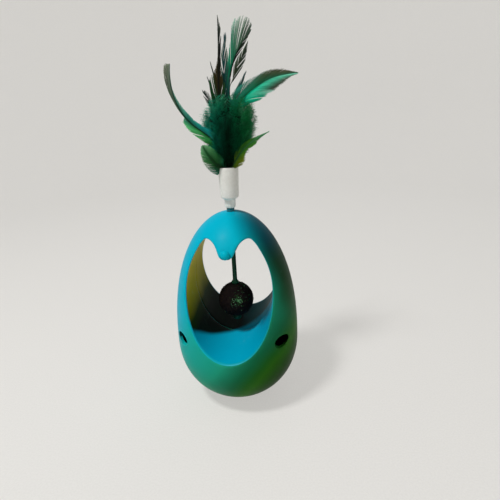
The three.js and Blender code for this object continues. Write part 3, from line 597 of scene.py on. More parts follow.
@dataclass(frozen=True)
class DyedFeather:
    """Dyed rooster feather: keratin barbs with streaks along each barb and a paler edge.

    The piece's own UV map runs along the shaft and across the vane, with the shaft in the middle.
    A dye is a run of shares of the feather's length with their colours. Each vane has one dye
    beside the shaft and one at its edge.
    """

    name: str
    left: tuple[Stops, Stops]
    right: tuple[Stops, Stops]
    shaft: Stops
    roughness: float = 0.6
    specular: float = 0.12
    streak_mm: float = 0.35
    shaft_half: float = 0.004

    def material(self) -> Material:
        """Builds the node material."""
        material, tree = blank_material(self.name)
        vane = add_node(tree, "UVMap", {"uv_map": VANE}).outputs[0]
        along, across, _ = add_node(tree, "SeparateXYZ", None, {0: vane}).outputs
        off = reckon(tree, "SUBTRACT", across, 0.5)
        out = reckon(tree, "ABSOLUTE", off)
        edge = spread(tree, out, (0.08, 0.42))
        sides = []
        for near, far in (self.left, self.right):
            sides.append(blend(tree, edge, ramp(tree, along, near), ramp(tree, along, far)))
        vanes = blend(tree, reckon(tree, "GREATER_THAN", off, 0.0), *sides)
        on_shaft = reckon(tree, "LESS_THAN", out, self.shaft_half)
        dyed = blend(tree, on_shaft, vanes, ramp(tree, along, self.shaft))
        streak = noise(tree, coordinates(tree), self.streak_mm, detail=4.0)
        mottle = reckon(tree, "MULTIPLY_ADD", streak, 0.5, strand_tone(tree))
        value = spread(tree, mottle, (0.0, 1.5), (0.55, 1.45))
        colour = add_node(tree, "HueSaturation", None, {"Color": dyed, "Value": value}).outputs[0]
        shader = {"Base Color": colour, "Roughness": self.roughness, "Specular IOR Level": self.specular}
        close_material(tree, shader)
        return material


@dataclass(frozen=True)
class Marabou:
    """Dyed marabou down: matt fibres, clear green at the tuft's edge. The near black inside the tuft
    is painted shade, and the pale grey-green of the lightest fibres is painted light through them.
    """

    name: str
    # Near black inside the tuft: painted shade
    inside: str
    left: str
    right: str
    low: str
    # Pale grey-green of the lightest fibres: painted light through thin wisps
    wisp: str
    side_span_mm: Span = (-9.0, 13.0)
    low_span_mm: Span = (172.0, 160.0)
    wisp_span: Span = (0.75, 1.0)
    wisp_share: float = 0.7

    def material(self) -> Material:
        """Builds the node material."""
        material, tree = blank_material(self.name)
        x, _, z = add_node(tree, "SeparateXYZ", None, {0: coordinates(tree)}).outputs
        side = spread(tree, x, tuple(end * MM for end in self.side_span_mm))
        edge = blend(tree, side, linear(self.left), linear(self.right))
        drop = spread(tree, z, tuple(end * MM for end in self.low_span_mm))
        outer = blend(tree, drop, edge, linear(self.low))
        tone = strand_tone(tree)
        dyed = blend(tree, tone, linear(self.inside), outer)
        faded = spread(tree, tone, self.wisp_span, (0.0, self.wisp_share))
        colour = blend(tree, faded, dyed, linear(self.wisp))
        close_material(tree, {"Base Color": colour, "Roughness": 0.8, "Specular IOR Level": 0.08})
        return material


@dataclass(frozen=True)
class PressedCatnip:
    """Ball of pressed dried catnip: dark crumbled leaf, matt, with a coarse grain and cracks.
    Its near black is the leaf darkened by painted shade.
    """

    name: str
    dark: str
    middle: str
    light: str
    crumb_mm: float = 1.1

    def material(self) -> Material:
        """Builds the node material."""
        material, tree = blank_material(self.name)
        place = coordinates(tree)
        inputs = {"Vector": place, "Scale": 1 / (self.crumb_mm * MM), "Randomness": 1.0}
        crumbs = add_node(tree, "TexVoronoi", None, inputs).outputs
        grain = noise(tree, place, self.crumb_mm * 2, detail=6.0, roughness=0.7)
        pale = add_node(tree, "RGBToBW", None, {0: crumbs["Color"]}).outputs[0]
        shade = reckon(tree, "MULTIPLY", pale, grain)
        shader = {
            "Base Color": ramp(tree, shade, ((0.08, self.dark), (0.3, self.middle), (0.5, self.light))),
            "Roughness": 0.92,
            "Normal": relief(tree, crumbs["Distance"], strength=0.7, depth_mm=0.4),
            "Specular IOR Level": 0.1,
        }
        close_material(tree, shader)
        return material


# The egg


@dataclass(frozen=True)
class EggForm:
    """The egg's outer form: two superellipse quarters that meet at the widest circle."""

    radius: float = 41.0
    base_depth: float = 44.4
    crown_height: float = 86.95
    base_roundness: float = 2.18
    crown_roundness: float = 2.27
    skin_wall: float = 2.0
    halvings: int = 40

    @property
    def crown_z(self) -> float:
        """Height of the crown."""
        return self.base_depth + self.crown_height

    def radius_at(self, z: float, inset: float = 0.0) -> float:
        """Radius of the egg, or of the egg drawn in by an inset, at a height.

        Args:
            z: The height in millimetres.
            inset: How far the form is drawn in all over.

        Returns:
            The radius, or zero above and below the form.
        """
        base = z < self.base_depth
        reach = (self.base_depth if base else self.crown_height) - inset
        power = self.base_roundness if base else self.crown_roundness
        share = abs(z - self.base_depth) / reach
        return (self.radius - inset) * math.sqrt(max(0.0, 1 - share**power))

    def slope_at(self, z: float, step: float = 0.05) -> float:
        """How fast the radius grows with the height."""
        return (self.radius_at(z + step) - self.radius_at(z - step)) / (2 * step)

    def depth_at(self, x: float, z: float, inset: float = 0.0) -> float:
        """How far the surface lies from the seam's plane, over a point of that plane."""
        return math.sqrt(max(0.0, self.radius_at(z, inset) ** 2 - x * x))

    def silhouette(self, centre_z: float, direction: Vector, inset: float = 0.0) -> Vector:
        """Point of the outline in the seam's plane, in a direction from a point on the axis.

        Args:
            centre_z: The height of the point on the axis.
            direction: A direction in X and Z, of length 1.
            inset: How far the form is drawn in all over.

        Returns:
            The point in X and Z.
        """
        inside, outside = 0.0, 2 * self.crown_height
        for _ in range(self.halvings):
            reach = (inside + outside) / 2
            x = direction.x * reach
            z = centre_z + direction.y * reach
            within = inset < z < self.crown_z - inset and abs(x) < self.radius_at(z, inset)
            inside, outside = (reach, outside) if within else (inside, reach)
        return Vector((direction.x * inside, centre_z + direction.y * inside))


@dataclass(frozen=True)
class TunnelForm:
    """The drop-shaped tunnel with the tongue that hangs from its ceiling.

    Its half outline is five cubic curves: the bowl, the side, the shoulder, the tongue's flank and
    the tongue's tip. The pulls say how far each curve's handles reach along it.
    """

    floor_z: float = 44.9
    half_width: float = 26.9
    ceiling_z: float = 118.7
    tongue_length: float = 10.1
    lobe_x: float = 12.4
    shoulder_x: float = 17.3
    shoulder_drop: float = 3.8
    flank_x: float = 5.9
    draft: float = 0.5
    wall: float = 1.8
    lip_reach: float = 2.2
    widest_share: float = 0.545
    flank_share: float = 0.5
    centre_z: float = 84.0
    half_count: int = 110
    curve_steps: int = 60
    floor_pull: float = 0.55
    bowl_pull: float = 0.6
    side_pull: float = 0.5
    side_lean: float = 0.42
    shoulder_pull: float = 0.4
    shoulder_rise: float = 0.6
    lobe_pull: float = 0.45
    flank_pull: float = 0.5
    flank_lean: float = 0.2
    tip_pull: float = 0.7

    @property
    def tongue_tip_z(self) -> float:
        """Height of the tongue's tip."""
        return self.ceiling_z - self.tongue_length

    def half_outline(self) -> list[Vector]:
        """Right half of the outline in X and Z, from the middle of the floor to the tongue's tip."""
        width, floor, ceiling, tip = self.half_width, self.floor_z, self.ceiling_z, self.tongue_tip_z
        lobe_x, shoulder_x, flank_x = self.lobe_x, self.shoulder_x, self.flank_x
        widest = floor + (ceiling - floor) * self.widest_share
        shoulder = ceiling - self.shoulder_drop
        pull = (shoulder - widest) * self.side_pull
        run = (shoulder_x - lobe_x) * self.shoulder_pull
        flank_z = ceiling - self.tongue_length * self.flank_share
        lean = flank_x * self.flank_lean
        curves = [
            (
                (0, floor),
                (width * self.floor_pull, floor),
                (width, widest - (widest - floor) * self.bowl_pull),
                (width, widest),
            ),
            (
                (width, widest),
                (width, widest + pull),
                (shoulder_x + (width - shoulder_x) * self.side_lean, shoulder - pull * self.side_lean),
                (shoulder_x, shoulder),
            ),
            (
                (shoulder_x, shoulder),
                (shoulder_x - run, shoulder + self.shoulder_drop * self.shoulder_rise),
                (lobe_x + run, ceiling),
                (lobe_x, ceiling),
            ),
            (
                (lobe_x, ceiling),
                (lobe_x - (lobe_x - flank_x) * self.lobe_pull, ceiling),
                (flank_x + lean, flank_z + (ceiling - flank_z) * self.flank_pull),
                (flank_x, flank_z),
            ),
            (
                (flank_x, flank_z),
                (flank_x - lean, flank_z - (flank_z - tip) * self.flank_pull),
                (flank_x * self.tip_pull, tip),
                (0, tip),
            ),
        ]
        points = [Vector((0.0, floor))]
        for curve in curves:
            points += bezier(*curve, self.curve_steps)
        return evenly(points, self.half_count + 1)

    def outline(self) -> list[Vector]:
        """The whole outline, once round from the middle of the floor by the right side."""
        half = self.half_outline()
        return half + [Vector((-point.x, point.y)) for point in half[-2:0:-1]]

    def outward(self, outline: Sequence[Vector]) -> list[Vector]:
        """Direction away from the tunnel at each point of the outline."""
        count = len(outline)
        directions = []
        for i in range(count):
            along = (outline[(i + 1) % count] - outline[i - 1]).normalized()
            directions.append(Vector((along.y, -along.x)))
        return directions


@dataclass
class Shell:
    """One half of the egg: skin, tunnel wall and rounded lip as one closed form.

    The tunnel's outline is followed round, and at each of its points the section through the
    half is one closed loop: the skin, the lip, the tunnel's wall, the seam's face, the wall's hidden
    side and the skin's hidden side. On both seam faces the front half has a locating lip that
    reaches into a rebate of the back half, so that no light passes through the seam.
    """

    side: Side
    finishes: list[Material]
    egg: EggForm = field(default_factory=EggForm)
    tunnel: TunnelForm = field(default_factory=TunnelForm)
    seam_gap: float = CLEARANCE
    edge_round: float = 0.12
    edge_share: float = 0.3
    register_land: float = 0.9
    register_depth: float = 0.8
    register_play: float = 0.1
    outer_count: int = 34
    lip_count: int = 9
    wall_count: int = 12
    inner_count: int = 12
    fine_steps: int = 120
    treat_hole_radius: float = 4.1
    treat_hole_x: float = 31.8
    treat_hole_z: float = 53.4
    peg_hole_radius: float = 2.7
    pin_seat_radius: float = 3.3
    slot_half: float = 2.2
    slot_top_z: float = 115.3
    slot_reach_down: float = 8.0
    screw_way_radius: float = 3.3
    screw_seat_y: float = 12.0
    boss_radius: float = 4.8
    core_steps: int = 60
    core_least_radius: float = 0.2
    peg_way_rise: float = 0.5
    peg_way_end: float = 150.0

    @property
    def name(self) -> str:
        """The piece's name."""
        return f"{self.side.name.lower()}_housing"

    def surface_line(self, start: Vector, end: Vector, inset: float, count: int) -> Row:
        """Points on the egg over a straight line of the seam's plane, evenly spaced on the surface.

        Args:
            start: Where the line starts, in X and Z.
            end: Where it ends, in X and Z, on the form's outline.
            inset: How far the form is drawn in.
            count: How many points come back.

        Returns:
            Points with their depth as Y.
        """
        fine = []
        for i in range(self.fine_steps + 1):
            spot = start.lerp(end, math.sin(i / self.fine_steps * math.pi / 2))
            depth = self.egg.depth_at(spot.x, spot.y, inset) if i < self.fine_steps else 0.0
            fine.append(lift(spot, depth))
        return evenly(fine, count)

    def section(self, point: Vector, outward: Vector) -> tuple[Row, int, int]:
        """One closed section of the half, and where its tunnel wall starts and ends.

        Args:
            point: The tunnel outline's point, in X and Z.
            outward: The direction away from the tunnel there.

        Returns:
            The loop, and the places of the wall's first and last points.
        """
        egg, tunnel = self.egg, self.tunnel
        gap = self.seam_gap / 2
        turn_in = self.edge_round
        ray = (point - Vector((0, tunnel.centre_z))).normalized()
        edge = lift(point, egg.depth_at(point.x, point.y))
        slope = egg.slope_at(point.y)
        rise = -(point.x * outward.x - egg.radius_at(point.y) * slope * outward.y) / edge.y
        rim = edge + lift(outward, rise).normalized() * tunnel.lip_reach
        rim.y = egg.depth_at(rim.x, rim.z)
        wall_start = edge - Vector((0, tunnel.lip_reach, 0))

        outline_point = egg.silhouette(tunnel.centre_z, ray)
        outer = self.surface_line(Vector((rim.x, rim.z)), outline_point, 0.0, self.outer_count)[::-1]
        outer[0].y = gap + turn_in * 2
        loop = outer[:-1]
        loop += [bow(rim, edge, wall_start, i / self.lip_count) for i in range(self.lip_count + 1)]
        wall_place = len(loop) - 1
        drawn = point - outward * tunnel.draft
        seam_wall = lift(drawn, gap + turn_in)
        loop += [wall_start.lerp(seam_wall, i / self.wall_count) for i in range(1, self.wall_count + 1)]
        loop.append(lift(drawn + outward * turn_in * self.edge_share, gap + turn_in * self.edge_share))
        loop.append(lift(drawn + outward * turn_in, gap))
        wall_end = len(loop) - 1

        on_tongue = abs(point.x) < tunnel.lobe_x and point.y > tunnel.centre_z
        above = Vector((point.x, tunnel.ceiling_z + tunnel.wall))
        hidden = above if on_tongue else point + outward * tunnel.wall
        inner_line = egg.silhouette(tunnel.centre_z, ray, egg.skin_wall)
        inner = self.surface_line(hidden, inner_line, egg.skin_wall, self.inner_count)
        front = self.side is Side.FRONT
        reach = gap + self.register_depth
        level = -reach if front else reach + 2 * self.register_play
        land = self.register_land if front else self.register_land - self.register_play
        tunnel_land = drawn + outward * land
        skin_land = outline_point - ray * land
        loop += [
            lift(tunnel_land, gap),
            lift(tunnel_land, level),
            lift(hidden, level),
            lift(hidden, inner[0].y / 2),
            *inner[:-1],
            lift(inner_line, level),
            lift(skin_land, level),
            lift(skin_land, gap),
            lift(outline_point - ray * turn_in, gap),
            lift(outline_point - ray * turn_in * self.edge_share, gap + turn_in / 2),
        ]
        for spot in loop:
            spot.z = max(spot.z, FOOT_DEPTH)
        return loop, wall_place, wall_end

    def build(self) -> Piece:
        """Skins the sections round the tunnel and cuts the holes.

        Returns:
            The finished half.
        """
        outline = self.tunnel.outline()
        rows = []
        wall_start = wall_end = 0
        lip_start = self.outer_count - 1 + self.lip_count // 3
        for point, direction in zip(outline, self.tunnel.outward(outline)):
            loop, wall_start, wall_end = self.section(point, direction)
            rows.append([to_frame(Vector((p.x, p.y * self.side.value, p.z))) for p in loop])

        def finish_at(place: int) -> int:
            """Slot of the faces at a place of the section: tunnel wall, lip or skin."""
            if wall_start <= place < wall_end:
                return 1
            return 2 if lip_start < place < wall_start else 0

        piece = skin(self.name, rows, True, finish_at)
        for finish in self.finishes:
            piece.data.materials.append(finish)
        if self.side is Side.BACK:
            self.add_screw_bosses(piece)
        self.cut_ways(piece)
        smooth(piece, 32)
        return piece

    def add_screw_bosses(self, piece: Piece) -> None:
        """Joins the two screw bosses to the inside of the back half, and bores their ways."""
        places = [(x, 0, SCREW_Z - FOOT_DEPTH) for x in (-SCREW_X, SCREW_X)]
        for place in places:
            boss = lay(rod("boss", self.boss_radius, self.seam_gap / 2, self.egg.radius, 32), TO_BACK, place)
            cut(boss, self.core(), "INTERSECT")
            cut(piece, boss, "UNION")
        for place in places:
            way = rod("way", self.screw_way_radius, self.screw_seat_y, PAST_SKIN, 32)
            cut(piece, lay(way, TO_BACK, place))

    def core(self) -> Piece:
        """The egg as one solid, a little inside its skin, which trims what stands on the skin."""
        inset = self.egg.skin_wall / 2
        low = FOOT_DEPTH + inset
        high = self.egg.crown_z - inset
        profile = []
        for i in range(1, self.core_steps):
            z = low + (high - low) * (1 - math.cos(math.pi * i / self.core_steps)) / 2
            profile.append((max(self.egg.radius_at(z, inset), self.core_least_radius), z - FOOT_DEPTH))
        return turn("core", profile, 96)

    def cut_ways(self, piece: Piece) -> None:
        """Cuts the peg's hole, the eye's slot and, in front, the treat holes and the pin's seat."""
        drop = FOOT_DEPTH
        top = self.tunnel.ceiling_z + self.tunnel.wall + self.peg_way_rise - drop
        cut(piece, rod("peg_way", self.peg_hole_radius, top, self.peg_way_end, 48))
        reach = self.tunnel.lobe_x
        low = (-reach, -self.slot_half, self.tunnel.tongue_tip_z - self.slot_reach_down - drop)
        cut(piece, box("eye_way", low, (reach, self.slot_half, self.slot_top_z - drop)))
        if self.side is Side.BACK:
            return
        seat = self.egg.radius_at(PIVOT_Z) - PIN_SINK
        way = rod("pin_way", self.pin_seat_radius, seat, PAST_SKIN, 40)
        cut(piece, lay(way, TO_FRONT, (0, 0, PIVOT_Z - drop)))
        for x in (-self.treat_hole_x, self.treat_hole_x):
            hole = rod("treat_way", self.treat_hole_radius, 0, PAST_SKIN, 72)
            cut(piece, lay(hole, TO_FRONT, (x, 0, self.treat_hole_z - drop)))


# Round pieces


@dataclass
class RoundPiece:
    """A small moulded or turned piece: a profile on the Z axis with its edges eased."""

    name: str
    profile: Profile
    finish: Material
    sides: int = 64
    ease: float = 0.18
    ease_segments: int = 3
    ease_angle: float = 28.0

    def build(self) -> Piece:
        """Turns the piece, eases its edges and dresses it.

        Returns:
            The finished piece on the Z axis.
        """
        piece = turn(self.name, self.profile, self.sides)
        finish_modifier(
            piece,
            "BEVEL",
            width=self.ease * MM,
            segments=self.ease_segments,
            limit_method="ANGLE",
            angle_limit=math.radians(self.ease_angle),
        )
        piece.data.materials.append(self.finish)
        smooth(piece)
        return piece


@dataclass
class ShellScrew:
    """Pan-head screw with a cross recess, seen down its counterbore in the back half."""

    name: str
    x: float
    finish: Material
    seat_y: float = 12.3
    length: float = 18.0
    radius: float = 1.5
    tip_radius: float = 0.2
    head_radius: float = 3.0
    head_height: float = 2.0
    head_crown: Sequence[Span] = ((1.0, 0.9), (0.86, 0.35), (0.55, 0.0))
    drive_width: float = 0.7
    drive_depth: float = 0.9
    drive_land: float = 1.0

    def build(self) -> Piece:
        """Turns the screw, cuts its cross and lays it in its hole.

        Returns:
            The finished screw.
        """
        top = self.seat_y + self.head_height
        end = self.seat_y - self.length
        profile = [
            (self.tip_radius, end),
            (self.radius, end + self.radius),
            (self.radius, self.seat_y),
            (self.head_radius, self.seat_y),
            *((self.head_radius * share, top - fall) for share, fall in self.head_crown),
        ]
        piece = RoundPiece(self.name, profile, self.finish, 48, 0.12).build()
        arm = self.head_radius - self.drive_land
        half = self.drive_width / 2
        for x, y in ((arm, half), (half, arm)):
            cut(piece, box("bar", (-x, -y, top - self.drive_depth), (x, y, top + 1)))
        smooth(piece)
        return lay(piece, TO_BACK, (self.x, 0, SCREW_Z - FOOT_DEPTH))


# The catnip ball


@dataclass
class CatnipBall:
    """Ball of pressed catnip with crumbs and leaf flakes that stand a little out of it.

    Every sixth flake is pale. Pale flakes lie in patches, half of them in the first, which faces
    the front: that crowd is partly real leaf and partly a painted pool of light.
    """

    finish: Material
    flake_finishes: list[Material]
    bore_radius: float = 1.8
    bore_span: Span = (50.0, 90.0)
    lump_depth: float = 0.6
    lump_size: float = 1.6
    core_swell: float = 0.05
    flake_count: int = 1900
    flake_size: float = 0.75
    flake_tilt: float = 0.25
    flake_half: float = 0.05
    flake_bend: float = 0.12
    flake_length: Span = (0.4, 1.3)
    flake_width: Span = (0.3, 0.8)
    flake_depth: Span = (-0.15, 0.2)
    flake_play: Span = (0.8, 1.2)
    flake_outline: Sequence[Span] = ((-1, -0.3), (-0.1, -1), (1, 0.1), (0.2, 1))
    pale_every: int = 6
    pale_shrink: float = 0.8
    pale_lift: float = 0.1
    brown_share: float = 0.45
    patch_spread: float = 0.34
    seed: int = 11
    # The first patch faces the front; the pale flakes crowded there are partly a painted pool of light
    patches: Sequence[Point] = (
        (0.28, -0.91, 0.31),
        (0.95, 0.2, -0.15),
        (-0.8, 0.5, 0.35),
        (0.3, 0.9, -0.3),
        (-0.6, -0.3, -0.74),
        (0.5, -0.1, 0.86),
    )

    def core(self) -> Piece:
        """Makes the lumpy ball and bores it for the stem."""
        deselect()
        centre = (0, 0, (BALL_Z - FOOT_DEPTH) * MM)
        radius = (BALL_RADIUS + self.core_swell) * MM
        bpy.ops.mesh.primitive_ico_sphere_add(subdivisions=6, radius=radius, location=centre)
        piece = bpy.context.object
        piece.name = "catnip_ball_pressed"
        bpy.ops.object.transform_apply()
        texture = bpy.data.textures.new("crumbs", "CLOUDS")
        texture.noise_scale = self.lump_size * MM
        texture.noise_depth = 3
        finish_modifier(
            piece,
            "DISPLACE",
            texture=texture,
            texture_coords="LOCAL",
            strength=self.lump_depth * MM,
            mid_level=0.5,
        )
        cut(piece, rod("bore", self.bore_radius, *self.bore_span, 32))
        piece.data.materials.append(self.finish)
        smooth(piece, 60)
        return piece

    def spot(self, chance: random.Random, number: int) -> Vector:
        """Direction from the ball's middle to a flake."""
        normal = stray(chance, 1).normalized()
        if number % self.pale_every:
            return normal
        pair = 2 * self.pale_every
        patch = self.patches[0] if number % pair == 0 else self.patches[number // pair % len(self.patches)]
        off = abs(chance.gauss(0, self.patch_spread))
        return (Vector(patch).normalized() + normal * off).normalized()

    def flake(self, chance: random.Random, normal: Vector, pale: bool) -> Row:
        """The eight corners of one flake, the under face first.

        Args:
            chance: The ball's random numbers.
            normal: Direction from the ball's middle to the flake.
            pale: True for a pale flake.

        Returns:
            The corners in millimetres.
        """
        up = (normal + stray(chance, self.flake_tilt)).normalized()
        across = up.orthogonal().normalized()
        across.rotate(Matrix.Rotation(chance.uniform(0, 2 * math.pi), 3, up))
        other = up.cross(across)
        size = self.flake_size * chance.uniform(*self.flake_length) * (self.pale_shrink if pale else 1)
        width = size * chance.uniform(*self.flake_width)
        height = BALL_RADIUS + chance.uniform(*self.flake_depth) + (self.pale_lift if pale else 0)
        middle = Vector((0, 0, BALL_Z)) + normal * height
        corners = []
        for face in (-self.flake_half, self.flake_half):
            for along, wide in self.flake_outline:
                reach = size * along * chance.uniform(*self.flake_play) / 2
                rise = face + self.flake_bend * along * along
                corners.append(middle + across * reach + other * (width * wide / 2) + up * rise)
        return corners

    def flakes(self) -> Piece:
        """Scatters thin broken leaf flakes over the ball, each a closed sliver.

        Returns:
            One piece with every flake.
        """
        chance = random.Random(self.seed)
        corners: list[Vector] = []
        faces: list[tuple[int, ...]] = []
        slots: list[int] = []
        for number in range(self.flake_count):
            pale = number % self.pale_every == 0
            normal = self.spot(chance, number)
            if math.hypot(normal.x, normal.y) * BALL_RADIUS < self.bore_radius + 1:
                continue
            start = len(corners)
            corners += self.flake(chance, normal, pale)
            faces.append((start + 3, start + 2, start + 1, start))
            faces.append((start + 4, start + 5, start + 6, start + 7))
            faces += band(start, start + 4, 4)
            slots += [(2 if pale else 0) + int(chance.random() < self.brown_share)] * 6
        piece = link("catnip_leaf_flakes", [to_frame(point) for point in corners], faces)
        piece.data.polygons.foreach_set("material_index", slots)
        for finish in self.flake_finishes:
            piece.data.materials.append(finish)
        return piece


# Feathers


def between(a: Vector, b: Vector, low: float, high: float, place: float) -> Vector:
    """The point at a place on the way from a, which is at the low place, to b, at the high one."""
    return a * ((high - place) / (high - low)) + b * ((place - low) / (high - low))


def smooth_line(points: Sequence[Vector], count: int, steps: int = 30) -> list[Vector]:
    """Centripetal Catmull-Rom curve through points, as evenly spaced points.

    Args:
        points: The points that the curve goes through.
        count: How many points come back.
        steps: How many short steps lead from each point to the next.

    Returns:
        Points on the curve, both ends included.
    """
    ends = [points[0] * 2 - points[1], *points, points[-1] * 2 - points[-2]]
    fine = [points[0]]
    for i in range(1, len(ends) - 2):
        p = ends[i - 1 : i + 3]
        t = [0.0]
        for a, b in zip(p, p[1:]):
            t.append(t[-1] + max((b - a).length, 1e-9) ** 0.5)
        for k in range(1, steps + 1):
            s = t[1] + (t[2] - t[1]) * k / steps
            firsts = [between(p[j], p[j + 1], t[j], t[j + 1], s) for j in range(3)]
            seconds = [between(firsts[j], firsts[j + 1], t[j], t[j + 2], s) for j in range(2)]
            fine.append(between(seconds[0], seconds[1], t[1], t[2], s))
    return evenly(fine, count)


@dataclass
class Strands:
    """Collects many thin closed strands into one mesh, with a tone and a UV place for each."""

    corners: list[Point] = field(default_factory=list)
    faces: list[tuple[int, ...]] = field(default_factory=list)
    tones: list[float] = field(default_factory=list)
    places: list[Span] = field(default_factory=list)
    least_thickness: float = 0.4

    def add(
        self,
        line: Sequence[Vector],
        across: Vector,
        widths: Sequence[float],
        thickness: float,
        tone: float,
        places: Sequence[Span],
        sides: int = 4,
    ) -> None:
        """Adds one strand, which is flat across one direction and tapers to its tip.

        Args:
            line: The strand's middle line in millimetres.
            across: The direction of its width.
            widths: Its full width at each point.
            thickness: Its thickness at the root.
            tone: How light it is, from 0 to 1.
            places: The UV place of each point.
            sides: How many faces go round it.
        """
        start = len(self.corners)
        last = len(line) - 1
        for i, point in enumerate(line):
            along = (line[min(i + 1, last)] - line[max(i - 1, 0)]).normalized()
            wide = (across - along * across.dot(along)).normalized()
            thick = along.cross(wide)
            half = widths[i] / 2
            rise = thickness / 2 * min(1.0, self.least_thickness + widths[i] / max(widths))
            for k in range(sides):
                angle = 2 * math.pi * k / sides
                corner = point + wide * (half * math.cos(angle)) + thick * (rise * math.sin(angle))
                self.corners.append(tuple(to_frame(corner)))
                self.tones.append(tone)
                self.places.append(places[i])
        for i in range(last):
            self.faces += band(start + i * sides, start + (i + 1) * sides, sides)
        self.faces.append(tuple(start + k for k in range(sides))[::-1])
        self.faces.append(tuple(start + last * sides + k for k in range(sides)))

    def piece(self, name: str, finish: Material) -> Piece:
        """Makes the mesh, with its tones, its UV map and its finish.

        Args:
            name: The piece's name.
            finish: The material.

        Returns:
            The finished piece.
        """
        piece = link(name, self.corners, self.faces)
        mesh = piece.data
        set_tones(piece, self.tones)
        layer = mesh.uv_layers.new(name=VANE)
        corner_places = []
        for loop in mesh.loops:
            corner_places += self.places[loop.vertex_index]
        layer.data.foreach_set("uv", corner_places)
        mesh.materials.append(finish)
        mesh.polygons.foreach_set("use_smooth", [True] * len(mesh.polygons))
        return piece


